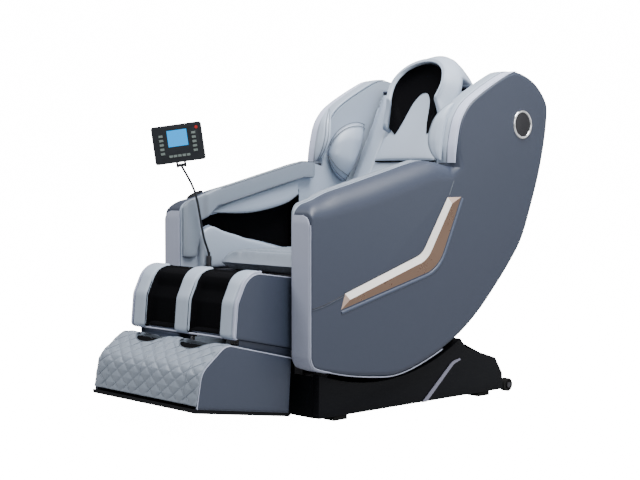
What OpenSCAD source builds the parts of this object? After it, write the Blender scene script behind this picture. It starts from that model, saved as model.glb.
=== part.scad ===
// Capsule massage chair: a seat, back and two side panels that rock as one
// capsule on a wheeled base, with a lifting leg rest, a drawn-out foot unit,
// a flip-over head pillow, a massage carriage and a remote on a stalk.
// X is across the chair (+X is the sitter's left), the front faces -Y, the floor is z = 0.

/* [Side panels] */
// Overall width over the two side panels
chair_w = 760; // [720:5:800]
// Thickness of one side panel with its inner board
side_t = 90; // [84:1:100]
// Thickness of the inner board of a side panel
board_t = 8; // [6:1:12]
// Wall of the moulded side shell
shell_wall = 5; // [3:0.5:7]
// Edge rounding of the wings and the rear curve
edge_r = 18; // [12:1:24]
// Edge rounding along the arm tops
arm_r = 50; // [40:1:60]
// Thickness of the light band on each arm front
band_t = 6; // [4:0.5:10]
// Width of the light band on each wing edge
wing_band_w = 42; // [30:1:50]
// Thickness of the gold side strip
strip_t = 4; // [3:0.5:6]
// Diameter of the speaker ring
speaker_d = 104; // [90:1:120]

/* [Arm pads] */
// Thickness of the arm pads on the inner boards
arm_pad_t = 28; // [20:1:32]
// Height of the slab pad along the arm top
slab_h = 57; // [48:1:62]
// Depth of the forearm slot behind the inner board
slot_depth = 54; // [40:1:70]
// Wall of the forearm slot liner
liner_wall = 3; // [2:0.5:5]

/* [Seat and back] */
// Height of the seat pan's top face above the floor
pan_top = 462; // [455:1:470]
// Thickness of the seat cushion at its crown
seat_t = 72; // [60:1:90]
// Lean of the backrest from upright, in degrees
back_lean = 27; // [25:0.5:29]
// Length of the back pad along its slope
back_len = 741; // [720:1:750]
// Thickness of the back pad
back_t = 28; // [20:1:34]
// Depth of the steel uprights of the back
upright_d = 20; // [16:1:24]
// Thickness of the rear cover
cover_t = 6; // [4:0.5:8]

/* [Head pillow] */
// Width of the pillow's bib
bib_w = 300; // [270:5:320]
// Thickness of the bib
bib_t = 26; // [18:1:32]
// Outer radius of the padded hood
hood_r = 165; // [155:1:172]
// Width of the hood's padded band
hood_band = 44; // [36:1:52]
// Depth of the hood in front of the bib
hood_front = 52; // [40:1:60]

/* [Leg rest] */
// Gap between the leg rest and the inner boards
leg_gap = 20; // [16:1:26]
// Width of one padded calf ridge
ridge_w = 73; // [60:1:80]
// Depth of the calf wells between the ridges
well_depth = 56; // [40:1:64]
// Wall of the leg rest casings
leg_wall = 8; // [6:0.5:10]
// Diameter of the leg rest hinge shaft
leg_shaft_d = 20; // [16:1:24]
// Thickness of the quilted foot pad
foot_pad_t = 30; // [24:1:36]
// Width of one foot well
foot_well_w = 150; // [130:2:160]
// Diameter of the foot runner bars
runner_d = 16; // [12:1:20]

/* [Rocker and base] */
// Radius of the rocker rails' running face
rail_r = 700; // [690:2:704]
// Width of a rocker rail
rail_w = 24; // [18:1:30]
// Diameter of a rail roller
roller_d = 50; // [44:1:56]
// Diameter of the rail roller axles
axle_d = 16; // [12:1:20]
// How far the base skirts stand in from the side panels
base_step = 45; // [38:1:54]
// Wall of the base skirts and covers
skirt_wall = 4; // [3:0.5:6]
// Height of the rubber feet
foot_h = 14; // [10:1:18]
// Width of a base frame tube
tube_w = 40; // [30:1:44]
// Height of a base frame tube
tube_h = 30; // [24:1:36]
// Diameter of a transport wheel
wheel_d = 48; // [40:1:54]
// Width of a transport wheel
wheel_w = 22; // [18:1:26]

/* [Massage carriage] */
// Distance between the two track channels, inside faces
track_gap = 224; // [216:2:230]
// Diameter of a massage roller
massage_d = 34; // [28:1:38]
// Width of a massage roller
massage_w = 22; // [18:1:24]
// Diameter of the massage roller axles
massage_axle = 10; // [8:1:12]

/* [Remote] */
// Width of the remote's case
tablet_w = 172; // [150:2:190]
// Height of the remote's case
tablet_h = 130; // [116:2:146]
// Thickness of the remote's case
tablet_t = 20; // [16:1:26]
// Diameter of the stalk
stalk_d = 8; // [6:0.5:10]

/* [Hidden] */
$fn = 64;

slack = 0.3;              // gap between soft parts and what carries them
run = 0.05;               // radial running clearance of a shaft
half_w = chair_w / 2;
board_x = half_w - side_t;            // inner face of a side panel
shell_x = board_x + board_t;          // mouth of the side shell tray
leg_x = board_x - leg_gap;            // half width of the leg rest
plate_t = 8;                          // steel side plates
post_w = 20;                          // width of the plates and posts in side view
pan_t = 6;                            // seat pan sheet

// rocker circle, shared by the rails, the rollers, the skirts and the tilt axis
rock_y = -53;
rock_z = 900;
rail_x = board_x - 42;                // centre of a rocker rail
rail_t = 24;                          // radial depth of a rail
roller_reach = rail_r + roller_d / 2 + 0.1;
roller_angles = [-12, 14];
skirt_r = rail_r + 90;                // running gap under the capsule

// leg rest hinge
hinge_y = -377;
hinge_z = 432;

// base
base_front = -328;
base_rear = 582;
base_x = half_w - base_step;
skirt_d = 30;                         // depth of a skirt tray
frame_x = base_x - skirt_d;           // outer face of the frame tubes
skirt_z = foot_h + 2;
wheel_y = 621;
wheel_z = wheel_d / 2 + 2;
wheel_pin = 12;
wheel_arm = 6;

// backrest plane: the front face of the back pad
back_y = 234.5;
back_z = 470;

// ---------------------------------------------------------------- helpers
// Catmull-Rom point between b and c
function cr(a, b, c, d, t) =
  0.5 * ((2 * b) + (c - a) * t + (2 * a - 5 * b + 4 * c - d) * t * t
         + (3 * b - a - 3 * c + d) * t * t * t);
// smooth chain through p, n steps a span, without its last point
function smooth(p, n) = [
  for (i = [0:len(p) - 2])
    let (a = p[max(i - 1, 0)], d = p[min(i + 2, len(p) - 1)])
      for (k = [0:n - 1]) cr(a, p[i], p[i + 1], d, k / n)
];
function unit(v) = v / norm(v);
function pick(v, i) = [for (p = v) p[i]];
// point at share t of a chain of points
function on_chain(p, t) =
  let (s = min(max(t, 0), 0.99999) * (len(p) - 1), i = floor(s))
    cr(p[max(i - 1, 0)], p[i], p[i + 1], p[min(i + 2, len(p) - 1)], s - i);
// inward normals of a counterclockwise outline
function normals(p) = [
  for (i = [0:len(p) - 1])
    let (a = p[(i + len(p) - 1) % len(p)], b = p[(i + 1) % len(p)],
         t = unit([b[0] - a[0], b[1] - a[1]])) [-t[1], t[0]]
];
// corners [y, z, r] turned into a rounded outline
function rounded(c, n = 6) = [
  for (i = [0:len(c) - 1])
    let (p = [c[i][0], c[i][1]], a = c[(i + len(c) - 1) % len(c)], b = c[(i + 1) % len(c)],
         u = unit([a[0], a[1]] - p), v = unit([b[0], b[1]] - p), r = c[i][2],
         half = acos(max(-1, min(1, u * v))) / 2, cut = r / tan(half),
         mid = p + unit(u + v) * (r / sin(half)), s = p + u * cut, e = p + v * cut)
      if (r <= 0) p
      else
        for (k = [0:n])
          let (w = (s - mid) * (1 - k / n) + (e - mid) * (k / n)) mid + unit(w) * r
];
// points added so that no stretch is longer than step
function fill(p, step) = [
  for (i = [0:len(p) - 1])
    let (q = p[min(i + 1, len(p) - 1)], m = max(1, ceil(norm(q - p[i]) / step)))
      for (k = [0:i == len(p) - 1 ? 0 : m - 1]) p[i] + (q - p[i]) * k / m
];
// stations [y, z, ny, nz] along an open chain, whose normals point right and are mitred
function stations(p) = [
  for (i = [0:len(p) - 1])
    let (a = unit(p[max(i, 1)] - p[max(i, 1) - 1]),
         b = unit(p[min(i + 1, len(p) - 1)] - p[min(i + 1, len(p) - 1) - 1]),
         m = unit(a + b), c = m * b) [p[i][0], p[i][1], m[1] / c, -m[0] / c]
];
function inset(q, h) = [q[0] + q[2] * h, q[1] + q[3] * h];
// station at share t of the chain
function at_share(c, t) =
  let (s = min(max(t, 0), 1) * (len(c) - 1), i = min(floor(s), len(c) - 2)) c[i] + (c[i + 1] - c[i]) * (s - i);
function face_volume(p, f) =
  let (s = [for (i = [1:len(f) - 2]) p[f[0]] * cross(p[f[i]], p[f[i + 1]])])
    s * [for (i = s) 1];
// closed mesh whose faces are turned the right way
module solid(p, f) {
  volumes = [for (i = f) face_volume(p, i)];
  total = volumes * [for (i = volumes) 1];
  polyhedron(p, total > 0 ? [for (i = f) [for (k = [len(i) - 1:-1:0]) i[k]]] : f);
}
// skin over a stack of rings with equal point counts
module loft(rings, fan = true, cap = []) {
  n = len(rings);
  m = len(rings[0]);
  ones = [for (i = [1:m]) 1];
  first = ones * rings[0] / m;
  last = ones * rings[n - 1] / m;
  p = concat([for (r = rings) each r], fan ? [first, last] : []);
  sides = [
    for (i = [0:n - 2], j = [0:m - 1])
      let (k = (j + 1) % m)
        each [[i * m + j, i * m + k, (i + 1) * m + k], [i * m + j, (i + 1) * m + k, (i + 1) * m + j]]
  ];
  caps = fan
    ? concat([for (j = [0:m - 1]) [n * m, (j + 1) % m, j]],
             [for (j = [0:m - 1]) [n * m + 1, (n - 1) * m + j, (n - 1) * m + (j + 1) % m]])
    : len(cap) > 0
    ? concat(cap, [for (t = cap) [for (k = [2:-1:0]) (n - 1) * m + t[k]]])
    : [[for (j = [m - 1:-1:0]) j], [for (j = [0:m - 1]) (n - 1) * m + j]];
  solid(p, concat(sides, caps));
}
// padded form: two faces f(u, v, side) that meet along their rim
module padded(nu, nv, f) {
  front = [for (i = [0:nu], j = [0:nv]) f(i / nu, j / nv, 1)];
  rear = [for (i = [1:nu - 1], j = [1:nv - 1]) f(i / nu, j / nv, -1)];
  q = nv + 1;
  function back_id(i, j) =
    i == 0 || j == 0 || i == nu || j == nv ? i * q + j : q * (nu + 1) + (i - 1) * (nv - 1) + j - 1;
  cells = [
    for (i = [0:nu - 1], j = [0:nv - 1])
      let (a = i * q + j, b = a + q, c = back_id(i, j), d = back_id(i + 1, j),
           e = back_id(i + 1, j + 1), g = back_id(i, j + 1))
        // every diagonal starts at a corner's side, so that no corner folds onto itself
        each (2 * i < nu) == (2 * j < nv)
          ? [[a, b, b + 1], [a, b + 1, a + 1], [c, e, d], [c, g, e]]
          : [[a, b, a + 1], [b, b + 1, a + 1], [c, g, d], [d, g, e]]
  ];
  solid(concat(front, rear), cells);
}
// crown that is 1 in the middle and falls steeply to 0 at the rim
function crown(t, p = 0.42) = min(1, 1.06 * pow(max(0, 4 * t * (1 - t)), p));
// point k of m on a rounded box of half size 1, whose flats lie at exactly 1
function box_round(k, m, p) =
  let (b = 360 * (k + 0.5) / m, c = cos(b), s = sin(b), top = m % 4 == 0 ? cos(180 / m) : 1)
    [sign(c) * pow(abs(c) / cos(180 / m), p), sign(s) * pow(abs(s) / top, p)];
// square to disc, for leaf and oval pads
function disc(u, v) =
  let (a = 2 * u - 1, b = 2 * v - 1) [a * sqrt(1 - b * b / 2), b * sqrt(1 - a * a / 2)];
// plane figure in (Y, Z), extruded along X from x0
module yz(x0, t) {
  translate([x0, 0, 0]) rotate([90, 0, 90]) linear_extrude(t) children();
}
module on_side(s) {
  mirror([s < 0 ? 1 : 0, 0, 0]) children();
}
module both_sides() {
  for (s = [1, -1]) on_side(s) children();
}
// bar along X, centred
module bar_x(d, half, y, z) {
  translate([-half, y, z]) rotate([0, 90, 0]) cylinder(d = d, h = 2 * half);
}
module stub_x(d, x0, x1, y, z) {
  translate([x0, y, z]) rotate([0, 90, 0]) cylinder(d = d, h = x1 - x0);
}
// frame of the backrest: x across, y depth behind the pad's front face, z along the slope
module on_back() {
  translate([0, back_y, back_z]) rotate([-back_lean, 0, 0]) children();
}
function back_point(x, d, s) = [
  x, back_y + s * sin(back_lean) + d * cos(back_lean), back_z + s * cos(back_lean) - d * sin(back_lean)
];
function on_rocker(r, a) = [rock_y + r * sin(a), rock_z - r * cos(a)];

// ---------------------------------------------------------------- side panel outline
// chains of [y, z, edge rounding], counterclockwise as seen from +X
front_y = -400;
arm_line = [
  [270, 822, arm_r * 0.9], [215, 836, arm_r], [151, 838, arm_r], [8, 804, arm_r],
  [-164, 761, arm_r], [-263, 737, arm_r], [-325, 714, arm_r * 0.9], [-372, 700, arm_r * 0.7],
  [front_y + 6, 682, arm_r * 0.4], [front_y, 664, 5]
];
bottom_line = [
  [front_y, 222, 5], [front_y + 8, 200, 6], [-368, 184, 8], [-247, 154, 14], [-120, 136, edge_r],
  [-27, 131, edge_r], [70, 148, edge_r], [193, 190, edge_r], [307, 246, edge_r],
  [400, 312, edge_r], [477, 382, edge_r], [563, 469, edge_r], [636, 560, edge_r],
  [691, 682, edge_r], [735, 800, edge_r], [766, 920, edge_r], [779, 1024, edge_r],
  [762, 1072, edge_r], [714, 1119, edge_r], [660, 1146, edge_r]
];
wing_line = [
  [606, 1159, edge_r], [566, 1152, 12], [513, 1130, 8], [415, 1080, 8], [345, 1035, 8],
  [305, 985, 8], [287, 930, 10], [276, 872, 24]
];
outline = concat(smooth(concat(bottom_line, wing_line), 2), smooth(arm_line, 2),
                 [arm_line[len(arm_line) - 1]]);
outline_n = normals(outline);
function arm_top(y) = lookup(y, [for (i = [len(arm_line) - 1:-1:0]) [arm_line[i][0], arm_line[i][1]]]);
// ring of the panel outline, drawn in by d and standing at x
function panel_ring(x, d) = [
  for (i = [0:len(outline) - 1])
    [x, outline[i][0] + outline_n[i][0] * d, outline[i][1] + outline_n[i][1] * d]
];
// rings of a rounded edge that ends at face x, on an outline already drawn in by d
function edge_rings(x, d, less, steps) = [
  for (k = [0:steps])
    let (a = 90 - 90 * k / steps)
      [for (i = [0:len(outline) - 1])
        let (r = max(outline[i][2] - less, 1), e = d + r * (1 - cos(a)))
          [x - r + r * sin(a), outline[i][0] + outline_n[i][0] * e,
           outline[i][1] + outline_n[i][1] * e]]
];
// triangles that fill a ring between its two halves, by the shorter way across each time
function strip(r, a, b) =
  b - a < 2 ? []
  : norm(r[a + 1] - r[b]) < norm(r[a] - r[b - 1])
    ? concat([[b, a + 1, a]], strip(r, a + 1, b))
    : concat([[b, b - 1, a]], strip(r, a, b - 1));
function reversed(v) = [for (i = [len(v) - 1:-1:0]) v[i]];
module panel_2d() {
  polygon([for (p = outline) [p[0], p[1]]]);
}
// forearm slot in the inner board
slot_line = [
  [-318, 604, 6], [-280, 617, 10], [-225, 597, 20], [-120, 566, 30], [-50, 553, 30], [90, 520, 20],
  [150, 520, 10], [150, 744, 12], [90, 738, 20], [-240, 656, 20], [-318, 642, 8]
];
module slot_2d() {
  polygon(rounded(slot_line, 3));
}

// ---------------------------------------------------------------- side panels
module side_shell(s) {
  cap = strip(panel_ring(0, 0), 0, len(outline) - 1);
  color("slategray")
    on_side(s)
      loft(concat(edge_rings(half_w, 0, 0, 3), [panel_ring(shell_x, 0)],
                  [panel_ring(shell_x, shell_wall)],
                  reversed(edge_rings(half_w - shell_wall, shell_wall, shell_wall, 2))), false, cap);
}
module inner_board(s) {
  color("lightsteelblue")
    on_side(s)
      difference() {
        yz(board_x, board_t) panel_2d();
        yz(board_x - 1, board_t + 2) slot_2d();
      }
}
module slot_liner(s) {
  color("black")
    on_side(s)
      difference() {
        yz(board_x, board_t + slot_depth) slot_2d();
        yz(board_x - 1, board_t + slot_depth - liner_wall + 1) offset(delta = -liner_wall) slot_2d();
      }
}
// light band down the front face of each arm
band_line = [
  [board_x + 3, 226, 10], [half_w - 5, 222, 14], [half_w - 5, 668, 34], [board_x + 3, 668, 10]
];
module arm_front_bands() {
  color("lavender")
    both_sides()
      translate([0, front_y - slack, 0]) rotate([90, 0, 0])
        linear_extrude(band_t) polygon(rounded(band_line, 5));
}
// light band along the front edge of each wing
wing_first = 2 * len(bottom_line);
wing_chain = stations(reversed([for (i = [wing_first:wing_first + 13]) [outline[i][0], outline[i][1]]]));
module wing_edge_bands() {
  color("lavender")
    both_sides()
      loft([
        for (q = wing_chain)
          let (a = inset(q, -slack), b = inset(q, -slack - band_t), c = inset(q, 2 - slack - band_t))
            [[half_w - wing_band_w, a[0], a[1]], [half_w - 8, a[0], a[1]], [half_w - 8, c[0], c[1]],
             [half_w - 12, b[0], b[1]], [half_w - wing_band_w + 4, b[0], b[1]],
             [half_w - wing_band_w, c[0], c[1]]]
      ]);
}
// bent strip on each side panel: two bevelled bands that share their bend
strip_outer = [[302, 712], [184, 486], [-252, 372]];
strip_mid = [[284, 706], [150, 506], [-274, 374]];
strip_inner = [[267, 700], [116, 545], [-256, 408]];
module side_strips() {
  color("rosybrown")
    both_sides()
      yz(half_w, strip_t) polygon([
        strip_inner[0], strip_inner[1], strip_inner[2], strip_mid[2], strip_outer[2],
        strip_outer[1], strip_outer[0]
      ]);
}
speaker_y = 627;
speaker_z = 972;
module speaker_rings() {
  color("silver")
    both_sides()
      translate([half_w, speaker_y, speaker_z]) rotate([0, 90, 0])
        difference() {
          cylinder(d = speaker_d, h = 5);
          translate([0, 0, -1]) cylinder(d = speaker_d - 20, h = 7);
        }
}
module speaker_grilles() {
  color("dimgray")
    both_sides()
      translate([half_w, speaker_y, speaker_z]) rotate([0, 90, 0])
        cylinder(d = speaker_d - 20 - 0.4, h = 3);
}

// ---------------------------------------------------------------- arm pads
// rounded section in X and Z at station y
function pad_ring(y, x0, x1, z0, z1, m = 10, power = 0.45) = [
  for (k = [0:m - 1])
    let (b = box_round(k, m, power))
      [(x0 + x1) / 2 + (x1 - x0) / 2 * b[0], y, (z0 + z1) / 2 + (z1 - z0) / 2 * b[1]]
];
arm_pad_x0 = board_x - arm_pad_t;
arm_pad_x1 = board_x - slack;
column_x0 = leg_x + 3;                // the leg rest swings up past the pad's column
column_z = 506;
pad_stations = [
  -394, -388, -350, -330, -322, -312, -290, -255, -170, -60, 50, 140, 200, 210
];
function slab_under(y) = arm_top(y) - slab_h;
module arm_pad(s) {
  color("silver")
    on_side(s)
      loft([
        for (y = pad_stations)
          let (ends = y < -391 || y > 207 ? 6 : 0,
               low = lookup(y, [[-345, column_z], [-330, 560], [-322, 632], [-290, 650],
                                [-255, slab_under(-255)]]),
               x0 = lookup(y, [[-316, column_x0], [-300, arm_pad_x0]]),
               z0 = y < -255 ? min(low, slab_under(-255)) : slab_under(y))
            pad_ring(y, x0 + ends, arm_pad_x1, z0 + ends, arm_top(y) + 5 - ends)
      ]);
}
// leaf-shaped air bag under the slab
flap_t = 12;
flap_top = [[-262, 664], [-172, 697], [-59, 725], [58, 754], [136, 772]];
flap_low = [[-262, 660], [-109, 656], [6, 671], [88, 692], [142, 722]];
module arm_flap(s) {
  color("lightgray")
    on_side(s)
      padded(10, 4, function (u, v, side)
        let (a = on_chain(flap_top, u), b = on_chain(flap_low, u), p = a * (1 - v) + b * v,
             h = flap_t / 2 * crown(v) * crown(u))
          [board_x - slack - flap_t / 2 - side * h, p[0], p[1]]);
}
// hump under the slot, beside the cushion
lower_line = [[-326, 592], [-280, 612], [-227, 593], [-172, 579], [-116, 561], [-59, 549], [87, 513],
              [205, 500]];
module lower_pad(s) {
  color("silver")
    on_side(s)
      loft([
        for (k = [0:9])
          let (p = on_chain(lower_line, k / 9), e = k == 0 || k == 9 ? 5 : 0)
            pad_ring(p[0], arm_pad_x0 + e, arm_pad_x1, pan_top + 6, min(p[1], 612) - e)
      ]);
}
// shoulder air bag: a leaf that is thick at the back and thin at the wing's edge
bag_top = [[282, 878], [308, 940], [358, 985], [424, 1003], [488, 994]];
bag_low = [[282, 874], [290, 832], [310, 794], [340, 768], [374, 755]];
module shoulder_bag(s) {
  color("lightgray")
    on_side(s)
      padded(10, 8, function (u, v, side)
        let (a = on_chain(bag_top, u), b = on_chain(bag_low, u),
             p = a * (1 - v) + b * v, rise = crown(v, 0.5) * crown(u, 0.4) * (26 + 48 * u))
          [board_x - slack - (side > 0 ? rise + 4 * crown(u) * crown(v) : 0), p[0], p[1]]);
}

// ---------------------------------------------------------------- seat
tube_d = 30;
cross_y = [-250, 20, 227];
cross_z = pan_top - pan_t - tube_d / 2 + 1;
rail_span = [-16, 39];
plate_x = board_x - plate_t;
lug_r = rail_r - 114;     // tilt lug's distance from the rocker centre
lug_angles = [30, 8];     // at rest and at full tilt
lug_mid = (lug_angles[0] + lug_angles[1]) / 2;
lug_pin = 14;
tilt_max = lug_angles[0] - lug_angles[1];
stalk_x = -(board_x - 39);
stalk_y = -307;
socket_z = 472;
module wedge_2d(a0, a1, r) {
  polygon(concat([[rock_y, rock_z]], [for (k = [0:8]) on_rocker(r, a0 + (a1 - a0) * k / 8)]));
}
module ring_2d(r0, r1, a0, a1) {
  intersection() {
    difference() {
      translate([rock_y, rock_z]) circle(r = r1, $fn = 256);
      translate([rock_y, rock_z]) circle(r = r0, $fn = 256);
    }
    wedge_2d(a0, a1, r1 + 60);
  }
}
module strut_2d(a, b, w) {
  d = unit(b - a);
  n = [-d[1], d[0]] * w / 2;
  polygon([a - n, b - n, b + n, a + n]);
}
module rocker_2d() {
  mid = rail_r - rail_t / 2;
  ring_2d(rail_r - rail_t, rail_r, rail_span[0], rail_span[1]);
}
module rocker_posts_2d() {
  mid = rail_r - rail_t / 2;
  strut_2d(on_rocker(mid, -14), [cross_y[0], cross_z], post_w);
  strut_2d(on_rocker(mid, 6), [cross_y[1], cross_z], post_w);
  strut_2d(on_rocker(mid, 22), [cross_y[2], cross_z], post_w);
  strut_2d(on_rocker(mid, 37), [cross_y[2], cross_z], post_w);
}
lug = on_rocker(lug_r, lug_angles[0]);
module seat_frame() {
  color("dimgray") {
    difference() {
      union() {
        both_sides() {
          yz(rail_x - rail_w / 2, rail_w) rocker_2d();
          yz(rail_x - 5, 10) rocker_posts_2d();
          yz(plate_x, plate_t) {
            translate([hinge_y, cross_z - 14]) square([cross_y[2] + 50 - hinge_y, 24]);
            translate([hinge_y, hinge_z]) circle(d = leg_shaft_d + 22);
          }
        }
        for (y = cross_y) bar_x(tube_d, plate_x, y, cross_z);
        translate([-plate_x, cross_y[0] - 20, pan_top - pan_t])
          cube([2 * plate_x, cross_y[2] - cross_y[0] + 14, pan_t]);
        // lug plates of the tilt drive
        for (x = [-24, 16])
          yz(x, 8) {
            strut_2d(lug, [cross_y[2], cross_z], 26);
            translate(lug) circle(d = 28);
          }
        // socket of the remote's stalk
        translate([stalk_x, stalk_y, cross_z + 12]) cylinder(d = 18, h = socket_z + 26 - cross_z);
        translate([-plate_x, stalk_y - 9, cross_z - 8]) cube([plate_x + stalk_x + 9, 18, 22]);
      }
      both_sides()
        stub_x(leg_shaft_d + 2 * run, plate_x - 1, board_x + 1, hinge_y, hinge_z);
      translate([stalk_x, stalk_y, cross_z + 18]) cylinder(d = stalk_d + 2 + 2 * run, h = 120);
    }
    stub_x(lug_pin, -20, 20, lug[0], lug[1]);
  }
}
seat_front = -306;
seat_corner = 34;                     // how far the front corners are drawn in
seat_rear = back_y - 12;
seat_half = arm_pad_x0 - 3;
module seat_cushion() {
  color("gainsboro")
    padded(20, 16, function (u, v, side)
      let (x = seat_half * (2 * u - 1),
           y = seat_front + (seat_rear - seat_front) * v + seat_corner * pow(abs(2 * u - 1), 12) * (1 - v),
           edge = crown(u, 0.3) * crown(v, 0.26),
           roll = 10 * exp(-pow((v - 0.1) / 0.07, 2)),
           channel = 3.5 * (pow(abs(sin(180 * (5 * u + 4 * v))), 8) + pow(abs(sin(180 * (5 * u - 4 * v))), 8)),
           top = pan_top + 26 + (seat_t - 26) * edge + (roll - channel * (v > 0.18 ? 1 : 0)) * edge)
        [x, y, side > 0 ? top : pan_top + slack + 25.7 * (1 - crown(u, 0.25) * crown(v, 0.25))]);
}

// ---------------------------------------------------------------- backrest
back_half = board_x - slack;
track_w = 18;
track_x = track_gap / 2;
track_d0 = 60;
bar_low = 0;
bar_high = back_len - 41;
module back_pad() {
  color("silver")
    padded(10, 14, function (u, v, side)
      let (e = crown(u, 0.3) * crown(v, 0.22),
           groove = 4 * (exp(-pow((v - 0.36) / 0.025, 2)) + exp(-pow((v - 0.2) / 0.025, 2))),
           d = side > 0 ? back_t * 0.5 * (1 - e) + groove * e : back_t - back_t * 0.5 * (1 - e))
        back_point(back_half * (2 * u - 1), d, 2 + (back_len - 4) * v));
}
module back_frame() {
  color("dimgray")
    on_back()
      difference() {
        union() {
          both_sides()
            translate([board_x - 20, track_d0, -40]) cube([20, upright_d, back_len]);
          for (s = [bar_low, bar_high])
            translate([-board_x, track_d0, s]) cube([2 * board_x, upright_d, 25]);
          both_sides()
            translate([track_x, track_d0, bar_low]) cube([track_w, upright_d, bar_high - bar_low]);
        }
        both_sides()
          translate([track_x - 1, track_d0 + 5, bar_low + 25])
            cube([11, 10.6, bar_high - bar_low - 25]);
      }
}
// rear cover between the side panels, closed on top behind the head
cover_line = [[443, 351], [532, 447], [606, 541], [664, 668], [708, 790], [736, 905], [747, 1000]];
cover_top_d = 190;
module rear_cover() {
  top_rear = back_point(0, cover_top_d, back_len);
  top_front = back_point(0, back_t + 1, back_len);
  run_line = concat(smooth(cover_line, 3), [cover_line[6]], [[747, 1022]], [[top_rear[1], top_rear[2]]],
                    [[top_front[1], top_front[2]]]);
  n = normals(run_line);
  last = len(run_line) - 1;
  inner = [
    for (i = [0:last])
      let (m = i == 0 ? n[1] : i == last ? [-sin(back_lean), -cos(back_lean)] : n[i])
        [run_line[i][0] + m[0] * cover_t, run_line[i][1] + m[1] * cover_t]
  ];
  color("slategray")
    yz(-board_x, 2 * board_x) polygon(concat(run_line, reversed(inner)));
}

// ---------------------------------------------------------------- head pillow
bib_low = 413;
hood_s = back_len - 55;               // centre of the hood's arch along the slope
hood_arm_s = 560;
bib_gap = slack;
module pillow_bib() {
  color("silver")
    padded(10, 14, function (u, v, side)
      let (e = crown(u, 0.32) * crown(v, 0.25), s = bib_low + (hood_s + 70 - bib_low) * v,
           r = hood_r - hood_band - 0.2,
           x = (2 * u - 1) * (s > hood_s ? sqrt(r * r - pow(s - hood_s, 2))
                              : s > hood_arm_s - 28 ? r : bib_w / 2))
        back_point(x, side > 0 ? -bib_gap - bib_t * (0.5 + 0.5 * e) : -bib_gap - bib_t * 0.5 * (1 - e), s));
}
// centre line of the hood: up one arm, round the arch and down the other
function hood_path(t) =
  let (arm = hood_s - hood_arm_s, r = hood_r - hood_band / 2, total = 2 * arm + PI * r, q = t * total)
    q < arm ? [-r, hood_arm_s + q, 0]
    : q > total - arm ? [r, hood_arm_s + total - q, 180]
    : let (a = (q - arm) / r * 180 / PI) [-r * cos(a), hood_s + r * sin(a), a];
cap_rear = 112;
hood_drop = 30;                       // how far the hood's front edge turns inward
module pillow_hood() {
  m = 10;
  steps = 28;
  face = -bib_gap - bib_t;
  color("lightgray")
    loft([
      for (k = [0:steps])
        let (t = k / steps, p = hood_path(t), a = p[2], out = [-cos(a), sin(a)],
             over = min(1, max(0, (p[1] - back_len - 14) / 30)),
             ends = min(1, 0.25 + 3.5 * min(t, 1 - t) * 3),
             d0 = face - hood_front * ends + 14 * over, d1 = -bib_gap - 1 + (cap_rear + 1) * over,
             w = hood_band / 2 * (0.45 + 0.55 * ends))
          [for (j = [0:m - 1])
            let (b = 360 * (j + 0.5) / m, c = cos(b), s = sin(b),
                 f = sign(s) * pow(abs(s), 0.6), d = (d0 + d1) / 2 + (d1 - d0) / 2 * f,
                 turn = hood_drop * min(1, max(0, -(d + 24) / 50)),
                 e = sign(c) * pow(abs(c), 0.6) * (w - (c > 0 ? turn * ends : 0)))
              back_point(p[0] + out[0] * e, d,
                         max(p[1] + out[1] * e, over > 0 ? back_len + 2 : 0))]
    ]);
}
// dark fabric lining inside the hood
module pillow_lining() {
  r = hood_r - hood_band - slack;
  color("black")
    on_back()
      translate([0, -bib_gap - bib_t - 1, hood_s]) rotate([90, 0, 0])
        difference() {
          cylinder(r = r, h = hood_front * 0.72);
          translate([0, 0, -1]) cylinder(r = r - 5, h = hood_front + 2);
          translate([-r - 1, -2 * r, -1]) cube([2 * r + 2, 2 * r, hood_front + 2]);
        }
}

// ---------------------------------------------------------------- leg rest
calf_corners = [
  [-334, 228, 12], [-334, 466, 20], [-352, 473, 26], [-566, 503, 78], [-616, 400, 60], [-626, 290, 16]
];
calf_outline = rounded(calf_corners, 4);
// from the foot of the front face, up and back over the top
calf_front = reversed([for (i = [14:26]) calf_outline[i]]);
calf_path = stations(fill(calf_front, 42));
module calf_2d(d) {
  offset(delta = -d) polygon(calf_outline);
}
ridge_cheek = 12;                     // padding over the cheek edges
runner_x = leg_x - 60;
runner_y = -409;
runner_z = 262;
leg_tilt = 8;
stroke = 140;
module along_leg() {
  for (s = [-1, 1])
    translate([s * runner_x, runner_y, runner_z]) rotate([-leg_tilt, 0, 0]) children();
}
module calf_shell() {
  color("slategray")
    difference() {
      union() {
        both_sides() yz(leg_x - leg_wall, leg_wall) calf_2d(ridge_cheek);
        difference() {
          yz(-leg_x + leg_wall, 2 * (leg_x - leg_wall)) calf_2d(ridge_cheek);
          yz(-leg_x + leg_wall - 1, 2 * leg_x) calf_2d(ridge_cheek + 5);
          // open over the wells, the front and the hinge shaft
          translate([-leg_x + leg_wall, -700, 262]) cube([2 * (leg_x - leg_wall), 330, 300]);
          translate([-leg_x + leg_wall, -700, hinge_z - 20]) cube([2 * (leg_x - leg_wall), 500, 300]);
        }
      }
      bar_x(leg_shaft_d + 2 * run, leg_x + 1, hinge_y, hinge_z);
      along_leg() translate([0, 0, -60]) cylinder(d = sleeve_d + 2 * slack, h = 60);
    }
}
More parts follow.
